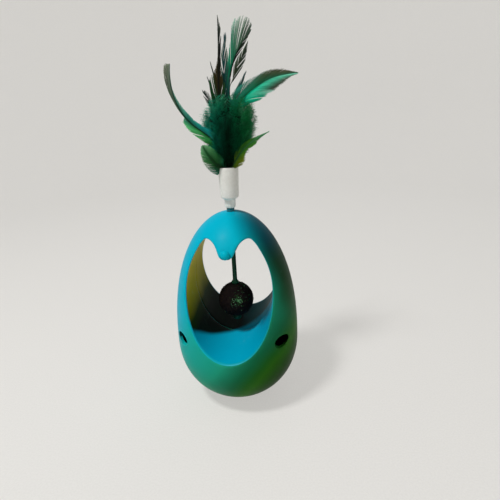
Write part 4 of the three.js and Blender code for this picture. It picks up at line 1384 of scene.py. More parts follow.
@dataclass
class Feather:
    """One feather: a tapered shaft, and barbs in clumps on both sides of it.

    Paths and vane widths are shares of the plume's height. A path runs to the right, back and up
    from the cup's floor; a vane's widths stand beside shares of the feather's length. On a fan the
    left vane's barbs run straight, and its table gives their lengths.
    """

    node: str
    ring: float
    turn: float
    finish: Material
    path: Sequence[Point]
    left: Sequence[Span]
    right: Sequence[Span]
    splay: float = 30.0
    splay_fade: float = 0.45
    curl: float = 0.02
    looseness: float = 0.05
    spacing: float = 0.27
    split: float = 0.5
    tone_span: Span = (0.25, 0.75)
    tone_play: float = 0.14
    spacing_play: Span = (0.7, 1.3)
    reach_play: Span = (0.9, 1.03)
    wave_play: float = 0.035
    root_step: float = 0.06
    bend_power: float = 1.5
    barb_parts: Span = (0.02, 0.48)
    quill_depth: float = 1.6
    shaft_overrun: float = 0.01
    shaft_power: float = 1.1
    barb_width: float = 0.34
    barb_thickness: float = 0.08
    barb_taper: float = 0.7
    fan_taper: float = 0.25
    barb_cup: float = -0.17
    barb_steps: int = 5
    trial_step: float = 0.3
    trial_count: int = 90
    clump: int = 14
    least_share: float = 0.12
    shaft_end: float = 0.96
    shaft_steps: int = 48
    shaft_fade: float = 0.88
    fan: bool = False
    quill_end_z: float = CUP_FLOOR_Z + 0.6
    cup_mouth_z: float = 157.0
    plume_height: float = 100.0
    quill_radius: float = 0.55
    line_count: int = 241

    def line(self) -> list[Vector]:
        """The middle line of the quill and the shaft, from the cup's floor to the tip."""
        angle = math.radians(self.turn)
        x, y = self.ring * math.cos(angle), self.ring * math.sin(angle)
        points = [Vector((x, y, self.quill_end_z)), Vector((x, y, self.cup_mouth_z))]
        base = Vector((0, 0, CUP_FLOOR_Z))
        points += [base + Vector(shares) * self.plume_height for shares in self.path]
        return smooth_line(points, self.line_count)

    def width(self, vane: Sequence[Span], share: float) -> float:
        """Half width of one vane, in millimetres, at a share of the feather's length."""
        for (low, low_width), (high, high_width) in zip(vane, vane[1:]):
            if low <= share <= high:
                part = (share - low) / (high - low)
                return (low_width + (high_width - low_width) * part) * self.plume_height
        return 0.0

    def build(self) -> Piece:
        """Makes the shaft and all barbs.

        Returns:
            The finished feather as one piece.
        """
        chance = random.Random(self.node)
        line = self.line()
        length = sum((b - a).length for a, b in zip(line, line[1:]))
        slope = math.tan(math.radians(self.splay))
        strands = Strands()
        self.shaft(strands, line)
        for side, vane in ((-1, self.left), (1, self.right)):
            start = vane[0][0]
            share = max(self.least_share, start - self.width(vane, start + self.root_step) / slope / length)
            bend = tone = 0.0
            hooked = 0
            while share < self.shaft_end:
                if hooked == 0:
                    hooked = chance.randint(self.clump // 2, self.clump * 2)
                    bend = chance.gauss(0, self.looseness)
                    tone = chance.uniform(*self.tone_span)
                    share += self.split * abs(chance.gauss(0, 1)) / length
                hooked -= 1
                share += self.spacing * chance.uniform(*self.spacing_play) / length
                barb_tone = held(tone + chance.gauss(0, self.tone_play))
                self.barb(strands, chance, line, length, vane, (share, side, bend, barb_tone))
        return strands.piece(f"{self.node}_barbs", self.finish)

    def shaft(self, strands: Strands, line: Sequence[Vector]) -> None:
        """Adds the quill and the shaft, which thins out towards the tip."""
        last = int((len(line) - 1) * min(1.0, self.shaft_end + self.shaft_overrun))
        parts = [i / self.shaft_steps for i in range(self.shaft_steps + 1)]
        stations = [line[round(last * i / self.shaft_steps)] for i in range(self.shaft_steps + 1)]
        widths = [2 * self.quill_radius * (1 - self.shaft_fade * part**self.shaft_power) for part in parts]
        places = [(last * part / (len(line) - 1), 0.5) for part in parts]
        depth = self.quill_radius * self.quill_depth
        strands.add(stations, Vector((1, 0, 0)), widths, depth, 0.5, places, 8)

    def spot(
        self, line: Sequence[Vector], share: float, length: float
    ) -> tuple[Vector, Vector, Vector, Vector]:
        """Place on the shaft, or past its tip, with the directions along it, across it and to its face."""
        last = len(line) - 1
        place = min(max(share, 0.0), 1.0) * last
        i = min(int(place), last - 1)
        along = (line[min(i + 2, last)] - line[max(i - 2, 0)]).normalized()
        point = line[i].lerp(line[i + 1], place - i) + along * max(0.0, share - 1) * length
        across = along.cross(Vector((0, -1, 0))).normalized()
        return point, along, across, across.cross(along)

    def trial(self, vane: Sequence[Span], length: float, kind: BarbKind) -> tuple[list[Span], int]:
        """A barb's way ahead and out from the shaft, and how many steps of it lie on the vane.

        Args:
            vane: The half widths of the barb's vane.
            length: The shaft's length in millimetres.
            kind: The barb's share of the length, its side, how far it leans and its tone.

        Returns:
            The places, and the number of the last step on the vane.
        """
        share, side, bend, _ = kind
        start = vane[0][0]
        fade = self.splay_fade * max(0.0, (share - start) / (1 - start)) ** self.bend_power
        splay = math.radians(self.splay) * (1 - fade) * (1 + bend)
        ahead = out = 0.0
        places = [(0.0, 0.0)]
        kept = 0
        for k in range(self.trial_count):
            angle = splay * (1 - self.curl * k * self.trial_step)
            ahead += self.trial_step * math.cos(angle)
            out += self.trial_step * math.sin(angle)
            places.append((ahead, out))
            if self.fan and side < 0:
                within = k * self.trial_step < self.width(vane, share)
            else:
                within = out < self.width(vane, share + ahead / length)
            if within:
                kept = k + 1
            elif share >= start or kept:
                break
        return places, kept

    def barb(
        self,
        strands: Strands,
        chance: random.Random,
        line: Sequence[Vector],
        length: float,
        vane: Sequence[Span],
        kind: BarbKind,
    ) -> None:
        """Adds one barb, which leaves the shaft at an angle, bends to the tip and ends at the vane's edge.

        Args:
            strands: The feather's strands.
            chance: The feather's own random numbers.
            line: The shaft's middle line.
            length: The shaft's length in millimetres.
            vane: The half widths of the barb's vane.
            kind: Its share of the length, its side, how far it leans and its tone.
        """
        share, side, _, tone = kind
        straight = self.fan and side < 0
        places, kept = self.trial(vane, length, kind)
        kept = max(2, round(kept * chance.uniform(*self.reach_play)))
        kept = min(kept, len(places) - 1)
        wave = chance.gauss(0, self.wave_play)
        taper = self.fan_taper if straight else self.barb_taper
        points = []
        widths = []
        uv = []
        for step in range(self.barb_steps + 1):
            part = step / self.barb_steps
            ahead, out = places[round(kept * part)]
            station = share if straight else share + ahead / length
            point, along, across, facing = self.spot(line, station, length)
            if straight:
                point = point + along * ahead
            cup = self.barb_cup * out * part + wave * out * math.sin(math.pi * part)
            points.append(point + across * side * out + facing * cup)
            widths.append(self.barb_width * (1 - taper * part**self.bend_power))
            uv.append((share, 0.5 + side * (self.barb_parts[0] + self.barb_parts[1] * part)))
        flat = self.spot(line, share, length)[1]
        strands.add(points, flat, widths, self.barb_thickness, tone, uv)


@dataclass
class MarabouTuft:
    """Tuft of marabou: soft curved plumes from the sleeve's mouth, each with fine fibres all round.

    A level is a share of the tuft's height, with the shares that give its middle, its half width
    and its half depth there.
    """

    finish: Material
    seed: int = 5
    plume_count: int = 380
    node_count: int = 22
    first_node: int = 3
    fibres_per_node: int = 5
    fibre_length: float = 4.4
    fibre_width: float = 0.22
    fibre_taper: Sequence[float] = (1.0, 0.85, 0.6, 0.25)
    fibre_places: Sequence[float] = (0.0, 0.33, 0.67, 1.0)
    fibre_sag: float = 0.2
    edge_fibres: int = 4
    edge_share: float = 0.6
    piece_count: int = 6
    dark_x: float = 3.4
    dark_reach: float = 9.0
    dark_top_z: float = 197.0
    height: float = 44.0
    root_radius: float = 4.4
    root_rise: float = 0.3
    root_least: float = 0.2
    tip_low: float = 0.1
    tip_range: float = 0.84
    tip_power: float = 0.8
    tip_step: float = 0.618034
    tip_drop: float = 1.0
    turn_step: float = 0.381966
    turn_stretch: float = 1.7
    turn_play: float = 0.06
    depth_range: float = 0.35
    depth_power: float = 1.5
    elbow_share: float = 0.55
    elbow_play: Span = (-0.1, 0.25)
    dye_span: Span = (0.42, 0.85)
    least_dye: float = 0.05
    dark_fade: float = 12.0
    dark_share: float = 0.94
    flank_start: float = 0.5
    flank_depth: float = 0.6
    top_gain: float = 0.2
    top_start: float = 8.0
    top_fade: float = 10.0
    shaft_width: float = 0.4
    shaft_depth: float = 0.3
    shaft_taper: float = 0.8
    shaft_tone: float = 0.2
    swell_parts: Span = (0.55, 0.45)
    fibre_play: Span = (0.5, 1.05)
    fibre_bend: float = 0.25
    fibre_away: float = 0.8
    fibre_along: float = 0.75
    fibre_depth: float = 0.1
    fibre_tones: Span = (0.5, 1.3)
    rim_least: float = 0.25
    rim_fade: float = 12.0
    heart_sides: int = 48
    heart_steps: int = 24
    heart_size: float = 0.68
    levels: Sequence[tuple[float, float, float, float]] = (
        (-0.03, 0.0, 0.1, 0.1),
        (0.064, 0.003, 0.125, 0.12),
        (0.177, 0.008, 0.165, 0.155),
        (0.36, 0.04, 0.275, 0.24),
        (0.5, 0.055, 0.35, 0.295),
        (0.62, 0.065, 0.365, 0.3),
        (0.745, 0.073, 0.345, 0.284),
        (0.893, 0.08, 0.26, 0.205),
        (1.0, 0.08, 0.125, 0.102),
    )

    def envelope(self, up: float, angle: float) -> Vector:
        """Point on the tuft's outside, at a share of its height and a turn."""
        levels = self.levels
        k = 0
        while k < len(levels) - 2 and levels[k + 1][0] < up:
            k += 1
        low, high = levels[k], levels[k + 1]
        t = held((up - low[0]) / (high[0] - low[0]))
        middle, wide, deep = ((low[j] + (high[j] - low[j]) * t) * self.height for j in (1, 2, 3))
        x = middle + wide * math.cos(angle)
        return Vector((x, deep * math.sin(angle), CUP_TOP_Z + up * self.height))

    def build(self) -> list[Piece]:
        """Makes the plumes in a few pieces, and the dense heart of the tuft.

        Returns:
            The pieces.
        """
        chance = random.Random(self.seed)
        parts = [Strands() for _ in range(self.piece_count)]
        for n in range(self.plume_count):
            self.plume(parts[n % self.piece_count], chance, n)
        pieces = [part.piece(f"marabou_plumes_{i + 1}", self.finish) for i, part in enumerate(parts)]
        return [*pieces, self.heart()]

    def plume(self, strands: Strands, chance: random.Random, number: int) -> None:
        """Adds one plume: a soft shaft that leans out to the tuft's outside, with its fibres.

        Args:
            strands: Where its strands go.
            chance: The tuft's random numbers.
            number: The plume's number, which spreads the plumes evenly.
        """
        up = self.tip_low + self.tip_range * (number * self.tip_step % 1) ** self.tip_power
        turned = number * self.turn_step * self.turn_stretch + chance.uniform(0, self.turn_play)
        angle = 2 * math.pi * (turned % 1)
        inside = 1 - self.depth_range * chance.random() ** self.depth_power
        outside = self.envelope(up, angle)
        middle_x = self.envelope(up, math.pi / 2).x
        tip_x = middle_x + (outside.x - middle_x) * inside
        tip = Vector((tip_x, outside.y * inside, outside.z - self.tip_drop))
        root = Vector((math.cos(angle), math.sin(angle), 0))
        root = root * self.root_radius * chance.uniform(self.root_least, 1)
        root.z = CUP_TOP_Z + self.root_rise
        elbow = root.lerp(tip, self.elbow_share)
        elbow += Vector((tip.x, tip.y, 0)) * chance.uniform(*self.elbow_play)
        dye = self.lightness(chance.uniform(*self.dye_span), angle, inside, tip)
        steps = self.node_count
        line = [bow(root, elbow, tip, i / steps) for i in range(steps + 1)]
        widths = [self.shaft_width * (1 - self.shaft_taper * i / steps) for i in range(steps + 1)]
        places = [(0.0, 0.5)] * (steps + 1)
        across = Vector((1, 0.2, 0))
        strands.add(line, across, widths, self.shaft_depth, self.shaft_tone * dye, places, 3)
        for i in range(self.first_node, steps + 1):
            extra = self.edge_fibres if i > steps * self.edge_share else 0
            for _ in range(self.fibres_per_node + extra):
                self.fibre(strands, chance, line, i, dye)

    def lightness(self, light: float, angle: float, inside: float, tip: Vector) -> float:
        """How light a plume is: darker in the front's middle, lighter at the flanks and at the top.

        Args:
            light: The plume's own lightness.
            angle: Its turn round the tuft.
            inside: How near the outside it ends, as a share.
            tip: Its end.

        Returns:
            The lightness, up to 1.
        """
        front = max(0.0, -math.sin(angle)) * max(0.0, 1 - abs(tip.x - self.dark_x) / self.dark_reach)
        front *= held((self.dark_top_z - tip.z) / self.dark_fade)
        flank = max(0.0, abs(math.cos(angle)) - self.flank_start)
        top = self.top_gain * held((tip.z - self.dark_top_z + self.top_start) / self.top_fade)
        light = (light + flank * (inside - self.flank_depth) + top) * (1 - self.dark_share * front)
        return min(1.0, max(self.least_dye, light))

    def fibre(self, strands: Strands, chance: random.Random, line: Row, i: int, dye: float) -> None:
        """Adds one fibre at a node of a plume's shaft, shorter near the rim.

        Args:
            strands: Where it goes.
            chance: The tuft's random numbers.
            line: The plume's shaft.
            i: The node's number.
            dye: How light the plume is.
        """
        along = (line[i] - line[i - 1]).normalized()
        swell = self.swell_parts[0] + self.swell_parts[1] * math.sin(math.pi * i / self.node_count)
        away = stray(chance, 1)
        away = (away - along * away.dot(along)).normalized()
        rise = min(1.0, self.rim_least + max(0.0, line[i].z - CUP_TOP_Z) / self.rim_fade)
        reach = self.fibre_length * chance.uniform(*self.fibre_play) * swell * rise
        bend = stray(chance, self.fibre_bend) - Vector((0, 0, self.fibre_sag))
        fibre = []
        for q in self.fibre_places:
            way = away * (self.fibre_away * q) + along * (self.fibre_along * q) + bend * q * q * 0.5
            fibre.append(line[i] + way * reach)
        tone = min(1.0, dye * chance.uniform(*self.fibre_tones))
        taper = [self.fibre_width * share for share in self.fibre_taper]
        strands.add(fibre, away.cross(along), taper, self.fibre_depth, tone, [(tone, 0.5)] * len(fibre), 3)

    def heart(self) -> Piece:
        """The dense middle of the tuft, a lumpy closed form well inside the plumes, near black as painted
        shade.
        """
        rows = []
        for i in range(self.heart_steps + 1):
            up = -0.02 + 0.9 * i / self.heart_steps
            row = []
            for j in range(self.heart_sides):
                angle = 2 * math.pi * j / self.heart_sides
                point = self.envelope(up, angle)
                axis = Vector((point.x * 0.1, 0, point.z))
                lump = self.heart_size
                lump += 0.06 * math.sin(5 * angle + i * 0.8) + 0.04 * math.sin(9 * angle - i * 1.7)
                closing = min(1.0, 0.25 + (self.heart_steps - i) / 8)
                row.append(to_frame(axis.lerp(point, lump * closing)))
            rows.append(row)
        piece = skin("marabou_heart_painted_shade", rows, False, lambda place: 0)
        set_tones(piece, [0.0] * len(piece.data.vertices))
        piece.data.materials.append(self.finish)
        smooth(piece, 60)
        return piece


# Studio


@dataclass
class Studio:
    """Pale seamless sweep, soft lamps and the camera at the photograph's viewing angle."""

    paper: str = "#e9e7e3"
    paper_grain: str = "#e4e2de"
    surround: str = "#f4f4f2"
    sweep_radius: float = 1.1
    sweep_height: float = 0.75
    flat_share: float = 0.62
    flat_rings: Sequence[float] = (0.1, 0.3, 0.6, 1.0)
    bend_steps: int = 16
    sweep_sides: int = 96
    world_strength: float = 0.26
    seen_strength: float = 0.9
    paper_glow: float = 0.6
    camera_place: Point = (48.424, -261.516, 203.269)
    camera_right: Point = (0.99116, 0.12465, -0.04548)
    camera_up: Point = (-0.00152, 0.35341, 0.93547)
    camera_forward: Point = (-0.13268, 0.92713, -0.35047)
    focal_pixels: float = 436.856
    image_pixels: float = 500.0
    sensor_mm: float = 36.0
    target: Point = (0.0, 0.0, 0.1)
    lamps: Sequence[tuple[str, Point, float, float]] = (
        ("key", (-0.28, -0.31, 0.84), 0.12, 5.4),
        ("fill", (0.6, -0.55, 0.35), 0.6, 0.35),
        ("back", (0.2, 0.65, 0.6), 0.5, 0.35),
    )

    def camera(self) -> None:
        """Sets up the camera from its measured place and axes."""
        data = bpy.data.cameras.new("camera")
        data.sensor_width = self.sensor_mm
        data.lens = self.focal_pixels / self.image_pixels * data.sensor_width
        data.clip_start = 0.01
        data.clip_end = 20.0
        camera = bpy.data.objects.new("camera", data)
        bpy.context.scene.collection.objects.link(camera)
        axes = Matrix((self.camera_right, self.camera_up, [-v for v in self.camera_forward])).transposed()
        camera.matrix_world = Matrix.Translation(Vector(self.camera_place) * MM) @ axes.to_4x4()
        bpy.context.scene.camera = camera

    def floor(self) -> None:
        """Makes the floor: a disc that sweeps up all round into a low wall."""
        flat = self.sweep_radius * self.flat_share
        bend = self.sweep_radius - flat
        profile = [(self.sweep_radius * 0.02, 0.0)]
        profile += [(flat * share, 0.0) for share in self.flat_rings]
        for i in range(1, self.bend_steps + 1):
            angle = math.pi / 2 * i / self.bend_steps
            profile.append((flat + bend * math.sin(angle), bend * (1 - math.cos(angle))))
        profile.append((self.sweep_radius, self.sweep_height))
        count = self.sweep_sides
        corners = []
        for radius, height in profile:
            for k in range(count):
                angle = 2 * math.pi * k / count
                corners.append((radius * math.cos(angle), radius * math.sin(angle), height))
        faces: list[tuple[int, ...]] = [tuple(range(count))]
        for i in range(len(profile) - 1):
            faces += band((i + 1) * count, i * count, count)
        sweep = link("studio_sweep", corners, faces)
        sweep.data.polygons.foreach_set("use_smooth", [True] * len(faces))
        sweep.data.materials.append(self.paper_material())

    def paper_material(self) -> Material:
        """Matt paper that the camera and mirror surfaces see a little paler, so that it stays pale."""
        material, tree = blank_material("matt_paper")
        inputs = {"Vector": coordinates(tree), "Scale": 900.0, "Detail": 3.0}
        grain = add_node(tree, "TexNoise", None, inputs).outputs["Fac"]
        colour = ramp(tree, grain, ((0.3, self.paper_grain), (0.7, self.paper)))
        lit = add_node(tree, "BsdfDiffuse", None, {"Color": colour}).outputs[0]
        glow = add_node(tree, "Emission", None, {"Color": colour}).outputs[0]
        share = reckon(tree, "MULTIPLY", self.direct_rays(tree), self.paper_glow)
        mixed = add_node(tree, "MixShader", None, {0: share, 1: lit, 2: glow}).outputs[0]
        add_node(tree, "OutputMaterial", None, {"Surface": mixed})
        return material

    def direct_rays(self, tree: Tree) -> Socket:
        """Gives 1 for camera, glossy and transmission rays and 0 for the rays that light the object."""
        ray = add_node(tree, "LightPath").outputs
        direct = ray["Is Camera Ray"]
        for kind in ("Is Glossy Ray", "Is Transmission Ray"):
            direct = reckon(tree, "MAXIMUM", direct, ray[kind])
        return direct

    def lamp(self, name: str, place: Point, size: float, power: float) -> None:
        """Hangs one soft square lamp that looks at the toy.

        Args:
            name: The lamp's name.
            place: Where it hangs, in metres.
            size: The length of its side, in metres.
            power: Its power in watts.
        """
        data = bpy.data.lights.new(name, "AREA")
        data.size = size
        data.energy = power
        lamp = bpy.data.objects.new(name, data)
        lamp.location = place
        lamp.rotation_mode = "QUATERNION"
        lamp.rotation_quaternion = (Vector(self.target) - Vector(place)).to_track_quat("-Z", "Y")
        bpy.context.scene.collection.objects.link(lamp)

    def world(self) -> None:
        """Sets a plain pale surround, which the camera and mirror surfaces see as the paper's colour."""
        world = bpy.data.worlds.new("surround")
        world.use_nodes = True
        tree = world.node_tree
        tree.nodes.clear()
        kinds = ((self.surround, self.world_strength), (self.paper, self.seen_strength))
        light, seen = (
            add_node(tree, "Background", None, {"Color": linear(colour), "Strength": strength}).outputs[0]
            for colour, strength in kinds
        )
        mixed = add_node(tree, "MixShader", None, {0: self.direct_rays(tree), 1: light, 2: seen}).outputs[0]
        add_node(tree, "OutputWorld", None, {"Surface": mixed})
        bpy.context.scene.world = world

    def build(self) -> None:
        """Builds the whole studio."""
        self.camera()
        self.floor()
        self.world()
        for lamp in self.lamps:
            self.lamp(*lamp)
        bpy.context.scene.view_settings.view_transform = "Standard"


# The toy


def shown(piece: Piece, body: str, slot: str, *nodes: str) -> Piece:
    """Hangs a finished piece on the body that carries it, hides the CAD nodes that it stands for and logs
    it.

    Args:
        piece: The finished piece.
        body: The CAD body that carries it.
        slot: The material slot's name; not used.
        *nodes: The CAD nodes that it replaces.

    Returns:
        The same piece.
    """
    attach(piece, body)
    if nodes:
        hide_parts(*nodes)
    log.info("%s: %d faces, rides on %s", piece.name, len(piece.data.polygons), body)
    return piece


# Skin colours from cyan over teal to green towards the bottom and the right: cyan plastic with painted shade
# and painted green bounce light
SKIN_PAINTED_SHADE_AND_BOUNCE = (
    (0.0, "#00acca"),
    (0.26, "#02acc2"),
    (0.38, "#10a8a0"),
    (0.62, "#1e9a7c"),
    (0.69, "#1a8060"),
    (0.77, "#126640"),
    (0.83, "#1c5e1c"),
    (0.87, "#28620e"),
    (0.93, "#1c4a0a"),
    (1.0, "#143606"),
)
# Dark blue-teal to dark green that takes over on the crown's upper right and the right flank: painted shade
RIGHT_PAINTED_SHADE = ((0.0, "#024a58"), (0.15, "#033c46"), (0.32, "#103824"), (0.7, "#123c10"), (1.0, "#1a4a0c"))
TUNNEL_DYE = ((0.0, "#00a2c2"), (0.3, "#009aba"), (0.6, "#0c8a90"), (1.0, "#0c8494"))
# Tunnel colours towards the rear and left: near black low down, a painted shadow, and olive to yellow up the
# left wall, a painted reflection
TUNNEL_PAINTED_SHADOW_AND_REFLECTION = (
    (0.0, "#0e7480"),
    (0.1, "#0a545c"),
    (0.22, "#020f0c"),
    (0.6, "#03150f"),
    (0.7, "#163008"),
    (0.82, "#949004"),
    (0.96, "#ccbc02"),
    (1.0, "#d2c202"),
)
# The lip's bright cyan, paler than the skin beside it: the plastic's cyan with a painted rim highlight,
# dimmer to the right
LIP_PAINTED_HIGHLIGHT = ((0.0, "#08b8d4"), (0.4, "#04acc0"), (0.7, "#08a0b0"), (1.0, "#088a98"))


@dataclass
class Egg:
    """The weighted egg: two housing halves, pin and screws, with the weight and cover inside."""

    pin_radius: float = 1.25
    pin_length: float = 18.0
    pin_chamfer: float = 0.5
    pin_head_radius: float = 3.0
    pin_head_tip: float = 0.15
    pin_head_steps: int = 12

    def finishes(self) -> list[MouldedShell]:
        """The skin, with painted shade on the right and painted green bounce light low down, the tunnel,
        with a painted shadow at its rear and a painted olive reflection on its left wall, and the lip,
        with a painted highlight.
        """
        return [
            MouldedShell(
                "moulded_abs_painted_shade",
                Run((0.8, -0.1, -0.6), -90.0, 14.0, SKIN_PAINTED_SHADE_AND_BOUNCE),
                # Painted shade on the upper right and the right flank, and below it the border where it
                # takes over
                Run((0.0, 0.0, -1.0), -125.0, -55.0, RIGHT_PAINTED_SHADE),
                Run((0.9, 0.1, 0.45), 55.0, 71.0),
            ),
            MouldedShell(
                "moulded_abs_tunnel_painted_shadow_and_reflection",
                Run((0.0, 0.0, 1.0), 40.0, 110.0, TUNNEL_DYE),
                Run((-0.8, 0.0, 0.6), 10.0, 82.0, TUNNEL_PAINTED_SHADOW_AND_REFLECTION),
                # Border of the painted shadow and reflection, towards the tunnel's rear and left
                Run((-0.67, 0.72, 0.35), 12.5, 17.5),
                specular=0.008,
            ),
            MouldedShell("moulded_abs_lip_painted_highlight", Run((0.9, 0.0, -0.3), -65.0, 15.0, LIP_PAINTED_HIGHLIGHT), specular=0.12),
        ]

    def build(self) -> None:
        """Builds and dresses everything on the egg."""
        plastics = [finish.material() for finish in self.finishes()]
        for side in (Side.FRONT, Side.BACK):
            shown(Shell(side, plastics).build(), "egg", "shell", f"{side.name.lower()}_shell")
        steel = Speckled("zinc_plated_steel", "#8c8e90", "#b9bbbd", 0.3, 0.5, metallic=1.0).material()
        for word, x in (("left", -SCREW_X), ("right", SCREW_X)):
            screw = ShellScrew(f"pan_head_screw_{word}", x, steel).build()
            shown(screw, "egg", "screw", f"shell_screw_{word}")
        self.pin(plastics[0])
        iron = Speckled("cast_iron", "#2c2d2f", "#55565a", 0.62, 0.8, metallic=0.85, relief_mm=0.2)
        cover = Speckled("moulded_cover", "#1b1d1f", "#303336", 0.55, 0.7)
        for node, finish in (("counterweight", iron), ("weight_cover", cover)):
            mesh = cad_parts[node].data
            mesh.materials.clear()
            mesh.materials.append(finish.material())

    def pin(self, finish: Material) -> None:
        """Builds the pin that carries the stem, with its rounded head in the tongue's tip."""
        head_y = PIN_SINK - CLEARANCE - EggForm().radius_at(PIVOT_Z)
        profile: list[Span] = []
        for i in range(self.pin_head_steps + 1):
            angle = math.pi / 2 * i / self.pin_head_steps
            radius = max(self.pin_head_tip, self.pin_head_radius * math.sin(angle))
            profile.append((radius, head_y - self.pin_head_radius * math.cos(angle)))
        profile += [
            (self.pin_radius, head_y),
            (self.pin_radius, self.pin_length - self.pin_chamfer),
            (self.pin_radius - self.pin_chamfer, self.pin_length),
        ]
        piece = RoundPiece("pivot_pin_turned", profile, finish, 48, 0.1).build()
        lay(piece, TO_BACK, (0, 0, PIVOT_Z - FOOT_DEPTH))
        shown(piece, "egg", "pin", "pivot_pin")


@dataclass
class Swinging:
    """What swings in the tunnel: the stem with its eye, the cap and the catnip ball."""

    stem_radius: float = 1.5
    stem_waist: float = 1.42
    stem_tail: float = 2.3
    stem_chamfer: float = 0.5
    stem_top_drop: float = 2.0
    collar_radius: float = 2.4
    collar_height: float = 1.0
    collar_taper: float = 1.2
    eye_radius: float = 3.2
    eye_half: float = 1.8
    eye_bore: float = 1.55
    eye_way: float = 8.0
    cap_height: float = 3.4
    cap_foot: Sequence[Span] = ((0.9, 0.0), (1.7, 0.15), (2.45, 0.55), (2.9, 1.2))
    cap_rim: Sequence[Span] = ((2.9, -0.7), (2.55, 0.0))
    cap_bore: float = 1.8
    cap_bore_depth: float = 2.3

    def build(self) -> None:
        """Builds and dresses the stem, the cap and the ball."""
        # Dark teal-green for the stem and cap: teal plastic darkened by painted shade
        dyed = Speckled("dark_polypropylene_painted_shade", "#022a1c", "#074a32", 0.42, 0.5, specular=0.15).material()
        self.stem(dyed)
        self.cap(dyed)
        # Near-black ball and dark flakes: the dark leaf darkened further by painted shade
        pressed = PressedCatnip("pressed_catnip_painted_shade", "#0a0506", "#130b0c", "#1b1512").material()
        leaves = (
            ("leaf_black", "#0a0608", "#140c0c", 0.9),
            ("leaf_brown", "#120c0a", "#1f1812", 0.9),
            ("leaf_green", "#1c4a26", "#35703c", 0.85),
            ("leaf_pale", "#4c8454", "#8abf90", 0.85),
        )
        flakes = [Speckled(*leaf, grain_mm=0.6, specular=0.1).material() for leaf in leaves]
        ball = CatnipBall(pressed, flakes)
        shown(ball.core(), "ball", "catnip", "catnip_ball")
        shown(ball.flakes(), "ball", "catnip")

    def stem(self, finish: Material) -> None:
        """Turns the stem and joins its eye."""
        bottom = BALL_Z - BALL_RADIUS - self.stem_tail - FOOT_DEPTH
        collar = BALL_Z + BALL_RADIUS + CLEARANCE - FOOT_DEPTH
        pivot = PIVOT_Z - FOOT_DEPTH
        radius = self.stem_radius
        profile = [
            (radius - self.stem_chamfer, bottom),
            (radius, bottom + self.stem_chamfer),
            (radius, collar),
            (self.collar_radius, collar),
            (self.collar_radius, collar + self.collar_height),
            (radius, collar + self.collar_height + self.collar_taper),
            (self.stem_waist, (collar + pivot) / 2),
            (radius, pivot - self.stem_top_drop),
        ]
        piece = RoundPiece("hanging_stem_moulded", profile, finish, 48, 0.2).build()
        sides = [(self.eye_radius, -self.eye_half), (self.eye_radius, self.eye_half)]
        eye = RoundPiece("eye", sides, finish, 56, 0.4).build()
        cut(piece, lay(eye, TO_BACK, (0, 0, pivot)), "UNION")
        cut(piece, lay(rod("bore", self.eye_bore, -self.eye_way, self.eye_way, 32), TO_BACK, (0, 0, pivot)))
        smooth(piece)
        shown(piece, "stem", "stem", "hanging_stem")

    def cap(self, finish: Material) -> None:
        """Turns the push-on cap under the ball, rounded below and with a bore above."""
        top = BALL_Z - BALL_RADIUS - CLEARANCE - FOOT_DEPTH
        low = top - self.cap_height
        profile = [
            *((radius, low + rise) for radius, rise in self.cap_foot),
            *((radius, top + rise) for radius, rise in self.cap_rim),
            (self.cap_bore, top),
            (self.cap_bore, top - self.cap_bore_depth),
        ]
        piece = RoundPiece("stem_cap_moulded", profile, finish, 48, 0.15).build()
        shown(piece, "stem", "stem", "stem_end_cap")


